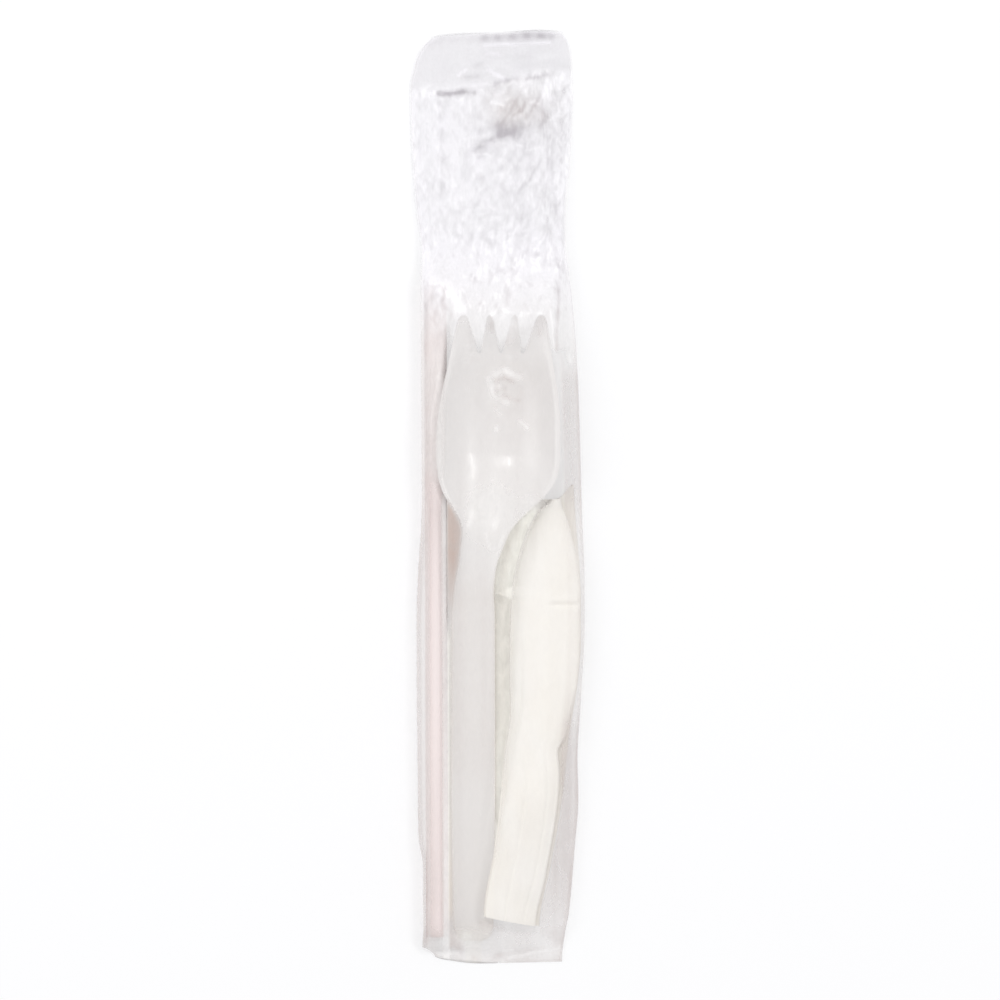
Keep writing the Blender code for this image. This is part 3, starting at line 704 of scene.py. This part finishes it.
def filmEdges(y):
    left, right = float(leftEdge(y)), float(rightEdge(y))
    along = np.clip(spork["tipY"] - y, 0.0, spork["length"])

    def beside(low, high):
        near, far = film["endRoom"], film["farRoom"]
        return ease((y - low + near) / (near - 1)) * ease((high + far - y) / (far - 1))

    byStraw = beside(straw["bottomY"], strawTopY)
    byNapkin = beside(napkin["bottomY"] - 2.0, napkin["topY"] + napkin["cornerRise"])
    bySpork = beside(spork["tipY"] - spork["length"], spork["tipY"])
    strawSide = strawX(y) - straw["radius"] - film["skin"] - 0.15
    napkinSide = max(float(underRight(y)), float(rollRight(y))) + film["skin"] + 0.15
    room = float(sporkHalf(along)) + film["skin"] + 0.4
    left += min(0.0, strawSide - left) * byStraw
    left += min(0.0, float(sporkMiddle(along)) - room - left) * bySpork
    right += max(0.0, napkinSide - right) * byNapkin
    right += max(0.0, float(sporkMiddle(along)) + room - right) * bySpork
    return left, right


def sealLine(x):
    return 94.0 + 4.2 * ease((x + 6.0) / 18.0)


def topHeights(trees, xs, ys, start):
    # highest point under each place of the grid, in millimetres
    down = Vector((0, 0, -1))
    heights = np.full(xs.shape, start)
    for i in range(xs.shape[0]):
        for j in range(xs.shape[1]):
            above = Vector(((xs[i, j] + shiftX) / 1000, (ys[i, j] + shiftY) / 1000, 0.05))
            for tree in trees:
                hit = tree.ray_cast(above, down)[0]
                if hit:
                    heights[i, j] = max(heights[i, j], hit.z * 1000)
    return heights


def blurred(values):
    smooth = values.copy()
    smooth[1:-1] = 0.25 * values[:-2] + 0.5 * values[1:-1] + 0.25 * values[2:]
    smooth[:, 1:-1] = 0.25 * smooth[:, :-2] + 0.5 * smooth[:, 1:-1] + 0.25 * smooth[:, 2:]
    return smooth


def softHigher(a, b, blend):
    # the higher of two surfaces, rounded where they cross
    return (a + b + np.sqrt((a - b) ** 2 + blend**2)) / 2


def widened(values):
    # each place takes the highest value of its own row and the next ones, which clears corners between
    wide = values.copy()
    wide[:-1] = np.maximum(wide[:-1], values[1:])
    wide[1:] = np.maximum(wide[1:], values[:-1])
    return wide


def filmRows():
    rows = [bottomEnd]
    for reach, count in zip((sealLow, *film["rowPlaces"], topEnd), film["rowCounts"]):
        rows += list(np.linspace(rows[-1], reach, count))[1:]
    return np.array(rows)


def underRise(x, left, right, leftRise, rightRise):
    # the underside is flat on the table and turns up to the two long edges
    z = np.zeros_like(x)
    for edge, rise in ((left, leftRise), (right, rightRise)):
        near = np.clip(1 - np.abs(x - edge) / min(2.2, 0.4 + rise), 0.0, 1.0)
        z += rise * (1 - np.sqrt(1 - near**2))
    return z


def frontRelief(x, y):
    # how far the front film stands off its drape, and the masks that its colour follows
    seal = ease((y - sealLine(x)) / 1.4)
    empty = ease((y - 34.0) / 14.0) * (1 - seal)
    calm = 0.4 + 0.6 * ease((x + 13) / 8)
    lean = 0.35 * ease((x + 9) / 8) * (1 - ease((x - 8) / 5))
    u = x - lean * (y - 62)
    lift = 0.36 * creases(u / 3.2, y / 8.0, 1) + 0.26 * creases(u / 1.9, y / 4.0, 2)
    lift += 0.15 * creases(u / 1.1, y / 2.2, 3)
    lift *= empty * calm

    crumple = hill(x, y, 3.7, 90.0, 7.0, 5.6) * (1 - seal)
    lift += crumple * (0.26 * creases(x / 1.7, y / 1.4, 7) + 0.22 * softNoise(x / 2.2, y / 1.7, 8))
    waves = softNoise(x / 5.5, y / 1.1, 9) * (0.15 + 0.85 * ease((x + 6) / 6))
    lift += 0.015 * seal * waves
    lift -= 0.08 * np.exp(-(((y - sealLine(x)) / 0.7) ** 2))
    lift += 0.08 * hill(x, y, 1.5, 28.0, 8.0, 11.0) * creases(u / 2.6, y / 3.4, 12)
    return lift, seal, empty, crumple, waves


def filmPlan():
    # the film's rows, its two long edges, how high they turn up and how far each row follows its cut
    rows = filmRows()
    follow = np.where(rows > sealHigh, ((rows - sealHigh) / film["sealTop"]) ** 2, 0.0)
    follow = np.where(rows < sealLow, (sealLow - rows) / film["sealBottom"], follow)
    edges = np.array([filmEdges(y) for y in rows])
    closing = ease((rows - sealLow) / 7.0) * ease((sealHigh - rows) / 30.0)
    rise = film["wall"] + (strawZ - film["wall"]) * closing * ease((strawTopY + 25 - rows) / 30.0)
    return {
        "rows": rows,
        "follow": follow[:, None],
        "left": edges[:, :1],
        "right": edges[:, 1:],
        "leftRise": np.maximum(rise, film["wall"] + film["leastRise"] * closing),
        "rightRise": film["wall"] + (film["napkinRise"] - film["wall"]) * closing,
    }


def spreadAcross(plan, shares):
    # places on the plan at these shares of the film's width, each row bent after the nearer cut
    x = plan["left"] + (plan["right"] - plan["left"]) * shares
    y = plan["rows"][:, None]
    return x, y + plan["follow"] * np.where(y > 0, topCut(x), bottomCut(x))


def drapeFront(plan, contents):
    # the front film lies on the frame's sleeve and on everything inside, and its crinkles stand off it
    depsgraph = bpy.context.evaluated_depsgraph_get()
    drape = BVHTree.FromObject(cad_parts["film_sleeve"], depsgraph)
    held = [BVHTree.FromObject(piece, depsgraph) for piece in contents]
    left, right = plan["left"], plan["right"]
    shares = np.linspace(0, 1, film["frontColumns"] + 1)
    shares = shares - 0.5 * np.sin(2 * math.pi * shares) / (2 * math.pi)  # finer at both edges
    xs, ys = spreadAcross(plan, shares)
    zs = topHeights([drape], np.clip(xs, left + 0.4, right - 0.4), ys, 2 * film["wall"])
    for _ in range(film["smoothings"]):  # the drape's flat facets blend into one curve
        zs = blurred(zs)

    lift, seal, empty, crumple, waves = frontRelief(xs, ys)
    lift = blurred(lift)
    across = np.gradient(lift, axis=1) / np.gradient(xs, axis=1)
    # slope towards the tines, which the painted crinkle shade follows
    shadeSlope = np.gradient(lift, axis=0) / np.gradient(ys, axis=0)
    flank = np.minimum(np.hypot(across, shadeSlope) / 0.35, 1.6)
    fromEdge = np.minimum(xs - left, right - xs)
    inEdge = ease(fromEdge / 2.4)
    bottomSeal = ease((sealLow + 0.6 - plan["rows"]) / 1.2)[:, None] * np.ones_like(xs)
    zs += lift * inEdge * (1 - bottomSeal)
    wrinkle = softNoise(xs / 1.6, ys / 11.0, 15) * np.exp(-(((fromEdge - 3.0) / 1.3) ** 2))
    zs += 0.05 * wrinkle * (1 - bottomSeal) * (1 - seal)
    needed = widened(topHeights(held, xs, ys, 0.0)) + film["clearance"]
    fromStraw = np.abs(xs - strawX(ys))
    strawArc = np.sqrt(np.maximum(0.0, (straw["radius"] + film["clearance"]) ** 2 - fromStraw**2))
    aboveStraw = (strawArc > 0) & (ys > straw["bottomY"] - 0.95) & (ys < strawTopY + 0.5)
    needed = np.where(aboveStraw, np.maximum(needed, strawZ + strawArc), needed)
    for _ in range(3):
        zs = blurred(np.where(needed > 1.0, softHigher(zs, needed, 0.16), zs))
    zs = np.where(needed > 1.0, softHigher(zs, needed - 0.10, 0.14), zs)
    for side, height in ((left, plan["leftRise"]), (right, plan["rightRise"])):
        t = np.clip(np.abs(xs - side) / 1.3, 0, 1)
        zs = height[:, None] + (zs - height[:, None]) * np.sqrt(1 - (1 - t) ** 2)
    print("film draped over", len(contents), "pieces")
    return {
        "places": (xs, ys, zs),
        "slopes": (flank, shadeSlope),
        "marks": (seal, empty, crumple, waves),
        "borders": (fromEdge, bottomSeal),
    }


def overContents(xs, ys):
    # where the film lies on the spork, dips beside the straw and spans to the napkin, and the painted shade
    # and painted light of those places
    along = np.clip(spork["tipY"] - ys, 0.0, spork["length"])
    offset = xs - sporkMiddle(along)
    sporkLeft, sporkRight = xs - offset - sporkHalf(along), xs - offset + sporkHalf(along)
    toRoot = np.minimum(along / spork["tineLength"], 1.0)
    pitch = spork["mouthPitch"] + (spork["rootPitch"] - spork["mouthPitch"]) * toRoot
    nearestGap = np.min([np.abs(offset - k * pitch) for k in (-1, 0, 1)], axis=0)
    inGap = ease((gapHalf(along) + 0.15 - nearestGap) / 0.4) * (toRoot < 1.0)
    onSpork = ease((sporkHalf(along) - np.abs(offset) + 0.2) / 0.4) * ease((42.3 - ys) / 0.6) * (1 - inGap)
    strawRight = strawX(ys) + straw["radius"]
    strip = ease((xs - strawRight + 0.2) / 0.5) * ease((sporkLeft - xs + 0.4) / 0.6)
    # painted shade in the crevice between the straw and the handle
    creviceShadeMask = strip * crevice(ys) * (1 - 0.35 * ease((xs - strawRight - 1.2) / 2.5))
    # painted light: a pale, warm veil over the lower crevice lifts its shade
    creviceLightened = strip * ease((-26.0 - ys) / 8.0) * ease((ys + 99.0) / 4.0)
    # painted light on the straw's shaded right flank
    flankEnd = strawRight + 0.5 * ease((-26.0 - ys) / 8.0)
    strawRightLightened = ease((xs - strawRight + 1.6) / 0.8) * ease((flankEnd - xs) / 0.3) * ease((4 - ys) / 8)
    # painted light: a pale, warm veil over the shaded gap from the handle to the napkin roll and along the
    # roll's edge
    rollGapLightened = ease((xs - sporkRight + 0.4) / 0.6) * ease((rollLeft(ys) - xs + 0.9) / 0.9)
    rollGapLightened *= ease((-1.0 - ys) / 3.0) * ease((ys + 97.0) / 3.0)
    rollEdgeLightened = rollGapLightened * ease((xs - rollLeft(ys) + 3.0) / 2.4)
    return onSpork, creviceShadeMask, creviceLightened, strawRightLightened, rollGapLightened, rollEdgeLightened


def shadeFront(plan, front):
    # how milky the film is, how grey and how warm: creased, doubled and sealed film shows most, and painted
    # shade and painted light stand in for shadows and highlights among the pieces
    left, right = plan["left"], plan["right"]
    xs, ys, _ = front["places"]
    flank, shadeSlope = front["slopes"]
    seal, empty, crumple, waves = front["marks"]
    fromEdge, bottomSeal = front["borders"]
    onSpork, creviceShadeMask, creviceLightened, strawRightLightened, rollGapLightened, rollEdgeLightened = overContents(xs, ys)
    patches = softNoise(xs / 2.3, ys / 5.0, 31) * 0.6 + softNoise(xs / 1.2, ys / 2.6, 32) * 0.4
    streaks = softNoise((xs - 0.3 * ys) / 0.8, ys / 2.0, 41)
    streaks = streaks + softNoise((xs + 0.45 * ys) / 0.75, ys / 1.7, 42)
    taut = softNoise(xs / 1.1, ys / 45.0, 21) * ease((20 - ys) / 15)
    edgeLine = np.exp(-(((fromEdge - 0.4) / 0.5) ** 2)) * (1 - ease((ys - 36.0) / 12.0))
    rightReach = np.maximum(4.6, right - 0.3 - rollRight(ys)) * ease((ys + 106) / 6)
    # painted shade along both long edges, over the doubled film
    rightFilmShade = ease((xs - right + rightReach) / 1.1) * rightBandShade(ys) * (1 - bottomSeal)
    leftFilmShade = ease((left + leftReach(ys) - xs) / 2.0) * leftBandShade(ys) * (1 - bottomSeal)
    bare = onSpork * (1 - 0.85 * hill(xs, ys, 3.0, 39.0, 1.8, 4.2))
    overStraw = ease((-10.2 - xs) / 1.2) * ease((50.5 - ys) / 4.0)
    glare = ease((ys - 32.5) / 3.0) * (1 - 0.85 * bare) * (1 - overStraw)
    glare = (glare + 0.45 * overStraw * ease((ys - 18.0) / 30.0)) * (1 - ease((ys - 52.0) / 13.0))
    onHandle = onSpork * ease((-12.0 - ys) / 12.0) * ease((ys + 74.0) / 18.0)
    upperRoll = ease((ys + 25.0) / 6.0)
    # painted light over the shadow by the bowl's rim on the napkin's top
    rimShadowLightened = hill(xs, ys, 8.6, -1.2, 3.0, 1.8)
    # painted light over the neck, which also veils its lamp highlight
    neckLightened = hill(xs, ys, -1.5, -4.0, 7.5, 9.0) * onSpork
    # painted light on the straw's shaded left flank
    strawLeftLightened = ease((strawX(ys) - 1.1 - xs) / 0.9) * ease((fromEdge - 0.6) / 0.6) * ease((4 - ys) / 8)
    # painted shade on the film strip left of the straw
    leftEdgeShade = ease((left + 1.7 - xs) / 0.9) * ease((-2.0 - ys) / 10.0) * (1 - bottomSeal)
    # painted light on the slope past the handle's end, which faces away from the lamps
    handleEndLightened = hill(xs, ys, -8.2, -102.2, 5.0, 2.0)
    overPale = leftFilmShade * ease((ys - 2.0) / 6.0) * (1 - ease((ys - 29.0) / 7.0))
    # painted shade in the bowl's right half
    bowlShade = hill(xs, ys, 5.0, 22.0, 8.5, 13.0)
    blotches = hill(xs, ys, 0.5, 27.0, 9.0, 11.0) * streaks
    lower = ease((-50.0 - ys) / 25.0) * (1 - 0.8 * onSpork)
    belowAll = ease((-98.5 - ys) / 2.5) * (1 - bottomSeal)
    fromCut = topEnd + topCut(xs) - ys
    hem = np.exp(-(((fromCut - 1.4) / 0.85) ** 2)) * (0.2 + 0.8 * ease((xs + 6) / 4))
    hem *= ease((14 - xs) / 2.2)
    hem *= 0.75 + 0.25 * np.cos(xs * 2 * math.pi / 3.3)

    veil = 0.12 + 0.27 * empty + 0.29 * seal + 0.14 * crumple + 0.28 * bottomSeal + 0.17 * belowAll
    veil += 0.28 * rightFilmShade + 0.24 * leftFilmShade + 0.12 * overPale + 0.14 * edgeLine + 0.50 * hem
    veil += 0.62 * creviceShadeMask + 0.20 * creviceLightened + 0.09 * onHandle + 0.10 * rollGapLightened * upperRoll
    veil -= 0.12 * hill(xs, ys, 16.0, 47.0, 2.4, 9.0)
    veil += 0.30 * rimShadowLightened + 0.35 * handleEndLightened + 0.30 * neckLightened + 0.30 * strawLeftLightened
    veil += 0.46 * strawRightLightened + 0.28 * rollGapLightened + 0.24 * rollEdgeLightened + 0.26 * glare + 0.08 * bowlShade + 0.03 * lower
    # crinkles: their own streaks and patches, and painted shade on their flanks, darker where they face
    # away from the rear lamps
    crinkles = 0.28 * (flank - 0.55) + 0.3 * shadeSlope + 0.11 * patches + 0.24 * streaks
    tone = 0.28 - 0.06 * empty + empty * crinkles
    tone += crumple * (0.33 + 0.12 * (flank - 0.6) + 0.16 * patches) - 0.26 * glare
    tone += 0.20 * seal - 0.15 * seal * waves + 0.60 * hem + 0.43 * rightFilmShade
    tone += (0.20 - 0.22 * ease((ys + 4) / 12)) * leftFilmShade - 0.07 * overPale + 0.16 * onHandle
    tone -= 0.12 * rimShadowLightened + 0.32 * handleEndLightened + 0.12 * creviceLightened + 0.42 * neckLightened + 0.18 * strawLeftLightened
    tone += 0.12 * edgeLine + 0.03 * belowAll + 0.62 * creviceShadeMask - 0.25 * strawRightLightened
    tone += 0.30 * leftEdgeShade
    tone += 0.24 * bowlShade + 0.22 * blotches + 0.06 * lower + 0.12 * taut
    tone -= (0.12 + 0.12 * upperRoll) * rollGapLightened + 0.12 * rollEdgeLightened
    for strength, width, *points in film["creaseAndShadowStrokes"]:
        line = strength * stroke(xs, ys, width, points) * (0.85 + 0.3 * patches)
        veil += 0.24 * line
        tone += 0.55 * line
    # painted glints and highlights, milky and pale
    for strength, width, *points in film["paintedGlintStrokes"]:
        line = strength * stroke(xs, ys, width, points) * (1 + 0.3 * patches)
        veil += 0.36 * line
        tone -= 0.60 * line
    tone = blurred(tone)
    thinned = ease(np.minimum(fromEdge, np.where(ys > 0, fromCut, 1.0)) / 0.7)
    # painted light: the edges of the empty top are paler and clearer, to offset the shade on their steep
    # sides
    topRimLightened = ease((ys - 45.0) / 15.0) * (1 - thinned)
    veil *= 1 - 0.92 * topRimLightened
    tone -= 0.30 * topRimLightened
    # warmer over the painted crevice shade and the painted light between the pieces
    warmth = 1 - ease((ys - 28.0) / 34.0) + rollGapLightened + 0.6 * creviceShadeMask + 0.8 * creviceLightened
    warmth += crumple * (0.1 + 0.6 * ease((ys - 84.5) / 4.0)) + 0.5 * onSpork * ease((-12.0 - ys) / 12.0)
    print("film shaded")
    return veil, tone, warmth


def layBack(plan):
    # the back film is flat but for its turned-up edges, and ruffled where the pack is empty
    left, right = plan["left"], plan["right"]
    shares = np.linspace(1, 0, film["backColumns"] + 1)
    shares = shares - 0.8 * np.sin(2 * math.pi * shares) / (2 * math.pi)
    xs, ys = spreadAcross(plan, shares)
    zs = np.zeros_like(xs)
    for i in range(len(xs)):
        zs[i] = underRise(xs[i], left[i, 0], right[i, 0], plan["leftRise"][i], plan["rightRise"][i])
    empty = ease((ys - 52.0) / 10.0) * ease((sealHigh - ys) / 4.0)
    inset = ease(np.minimum(xs - left, right - xs) / 3.0)
    ruffle = 0.5 + 0.5 * softNoise(xs / 3, ys / 6, 19)
    zs += 0.35 * ruffle * empty * inset
    seam = ease((xs - film["seamLeft"]) / 0.5) * ease((film["seamRight"] - xs) / 0.5)
    veil = 0.06 + 0.10 * empty + 0.07 * seam
    tone = 0.34 + 0.1 * seam
    warmth = 1 - ease((ys - 28.0) / 34.0)
    return xs, ys, zs, veil, tone, warmth


def makeFilm(contents):
    plan = filmPlan()
    front = drapeFront(plan, contents)
    frontParts = (*front["places"], *shadeFront(plan, front))
    xs, ys, zs, *shades = (
        np.hstack([frontPart, backPart[:, 1:]]) for frontPart, backPart in zip(frontParts, layBack(plan))
    )
    zs = np.maximum(zs, 0.0)
    for end in (0, -1):  # both films meet along each cut
        zs[end] = film["cutHeight"]
    for part in (xs, ys, zs):
        part[:, -1] = part[:, 0]

    bm, rowOf, columnOf = gridOf(*xs.shape)
    layers = [bm.verts.layers.float.new(name) for name in film["shadeRanges"]]
    for vert in bm.verts:
        i, j = vert[rowOf], vert[columnOf]
        vert.co = (xs[i, j], ys[i, j], zs[i, j])
        for layer, shade, (least, most) in zip(layers, shades, film["shadeRanges"].values()):
            vert[layer] = min(most, max(least, shade[i, j]))
    bmesh.ops.remove_doubles(bm, verts=bm.verts, dist=0.0005)
    bmesh.ops.holes_fill(bm, edges=[edge for edge in bm.edges if edge.is_boundary], sides=0)
    return finishPiece("filmSleeve", bm, filmLook(), 180, "film_sleeve")


def filmLook():
    look, shader, add, join = nodesOf("clearFilm")
    veil, tone, warmth = (
        add("ShaderNodeAttribute", attribute_name=name) for name in ("veil", "tone", "warmth")
    )
    colours = add("ShaderNodeMix", data_type="RGBA")
    for socket, cool, warm in (("A", "coolPale", "warmPale"), ("B", "coolGrey", "warmGrey")):
        part = add("ShaderNodeMix", data_type="RGBA", clamp_factor=False)
        part.inputs["A"].default_value = (*film[cool], 1)
        part.inputs["B"].default_value = (*film[warm], 1)
        join(warmth.outputs["Fac"], part.inputs["Factor"])
        join(part.outputs["Result"], colours.inputs[socket])
    join(tone.outputs["Fac"], colours.inputs["Factor"])
    join(colours.outputs["Result"], shader.inputs["Base Color"])
    place = add("ShaderNodeTexCoord")
    stretch = add("ShaderNodeMapping")
    stretch.inputs["Scale"].default_value = (1.0, 0.45, 1.0)
    join(place.outputs["Object"], stretch.inputs["Vector"])
    fine = add("ShaderNodeTexNoise", {"Scale": 620.0, "Detail": 3.0, "Distortion": 0.6})
    join(stretch.outputs["Vector"], fine.inputs["Vector"])
    bump = add("ShaderNodeBump", {"Strength": 0.08, "Distance": 0.0003})
    join(fine.outputs["Fac"], bump.inputs["Height"])
    join(bump.outputs["Normal"], shader.inputs["Normal"])
    uneven = add("ShaderNodeMapRange", {"From Min": 0.3, "From Max": 0.7, "To Min": 0.88, "To Max": 1.12})
    join(fine.outputs["Fac"], uneven.inputs["Value"])
    opacity = add("ShaderNodeMath", operation="MULTIPLY", use_clamp=True)
    join(veil.outputs["Fac"], opacity.inputs[0])
    join(uneven.outputs["Result"], opacity.inputs[1])
    join(opacity.outputs[0], shader.inputs["Alpha"])
    shader.inputs["Roughness"].default_value = film["roughness"]
    shader.inputs["Specular IOR Level"].default_value = 0.6
    shader.inputs["Coat Weight"].default_value = film["coat"]
    shader.inputs["Coat Roughness"].default_value = film["coatRoughness"]
    return look


makeFilm([makeStraw(), makeSpork(), makeNapkin()])

# The studio: a white floor, soft boxes behind and beside, and a camera that looks straight down
studio = {
    "pictureWidth": 0.2315,
    "centre": (0.00076, -0.00083),
    "focusHeight": 0.003,
    "lens": 135.0,
    "sensor": 36.0,
    "sky": (0.97, 0.97, 1.0),
    "skyStrength": 0.705,
    "floor": (0.97, 0.97, 0.97),
    "floorGlow": 0.5,
    "boxes": (
        ("rearMiddleBox", (-0.094, 0.31, 0.80), (0.08, 0.05), 0.8),
        ("rearRightBox", (0.52, 0.31, 0.80), (0.45, 0.045), 1.9),
        ("sideBox", (-0.75, 0.15, 0.70), (0.6, 0.6), 1.95),
    ),
}
scene = bpy.context.scene
scene.view_settings.view_transform = "Standard"


def makeCamera():
    data = bpy.data.cameras.new("photoCamera")
    data.lens = studio["lens"]
    data.sensor_width = studio["sensor"]
    camera = bpy.data.objects.new("photoCamera", data)
    scene.collection.objects.link(camera)
    away = studio["pictureWidth"] * studio["lens"] / studio["sensor"]
    camera.location = (*studio["centre"], studio["focusHeight"] + away)
    scene.camera = camera


def seenDirectly(tree):
    # one for what the camera, a reflection or a see-through surface shows, nought for lighting
    path = tree.nodes.new("ShaderNodeLightPath")
    seen = path.outputs["Is Camera Ray"]
    for label in ("Is Glossy Ray", "Is Transmission Ray"):
        either = tree.nodes.new("ShaderNodeMath")
        either.operation = "MAXIMUM"
        tree.links.new(seen, either.inputs[0])
        tree.links.new(path.outputs[label], either.inputs[1])
        seen = either.outputs[0]
    return seen


def makeFloor():
    bm = bmesh.new()
    bmesh.ops.create_grid(bm, x_segments=2, y_segments=2, size=4.0)
    mesh = bpy.data.meshes.new("floor")
    bm.to_mesh(mesh)
    bm.free()
    floor = bpy.data.objects.new("floor", mesh)
    floor.location.z = -0.0001
    scene.collection.objects.link(floor)
    look = bpy.data.materials.new("whiteFloor")
    look.use_nodes = True
    tree = look.node_tree
    shader = tree.nodes["Principled BSDF"]
    shader.inputs["Base Color"].default_value = (*studio["floor"], 1)
    shader.inputs["Roughness"].default_value = 0.9
    shader.inputs["Specular IOR Level"].default_value = 0.0
    glow = tree.nodes.new("ShaderNodeEmission")
    share = tree.nodes.new("ShaderNodeMath")
    share.operation = "MULTIPLY"
    share.inputs[1].default_value = studio["floorGlow"]
    tree.links.new(seenDirectly(tree), share.inputs[0])
    mix = tree.nodes.new("ShaderNodeMixShader")
    tree.links.new(share.outputs[0], mix.inputs["Fac"])
    tree.links.new(shader.outputs[0], mix.inputs[1])
    tree.links.new(glow.outputs[0], mix.inputs[2])
    tree.links.new(mix.outputs[0], tree.nodes["Material Output"].inputs["Surface"])
    mesh.materials.append(look)


def makeSky():
    world = bpy.data.worlds.new("studioSky")
    scene.world = world
    world.use_nodes = True
    tree = world.node_tree
    background = tree.nodes["Background"]
    background.inputs["Color"].default_value = (*studio["sky"], 1)
    strength = tree.nodes.new("ShaderNodeMapRange")
    strength.inputs["To Min"].default_value = studio["skyStrength"]
    tree.links.new(seenDirectly(tree), strength.inputs["Value"])
    tree.links.new(strength.outputs["Result"], background.inputs["Strength"])


def makeBox(name, place, size, power):
    lamp = bpy.data.lights.new(name, "AREA")
    lamp.shape = "RECTANGLE"
    lamp.size, lamp.size_y = size
    lamp.energy = power
    holder = bpy.data.objects.new(name, lamp)
    holder.location = place
    holder.rotation_mode = "QUATERNION"
    holder.rotation_quaternion = (-Vector(place)).to_track_quat("-Z", "Y")
    scene.collection.objects.link(holder)


makeCamera()
makeFloor()
makeSky()
for box in studio["boxes"]:
    makeBox(*box)
print("studio lit by", len(studio["boxes"]), "soft boxes")
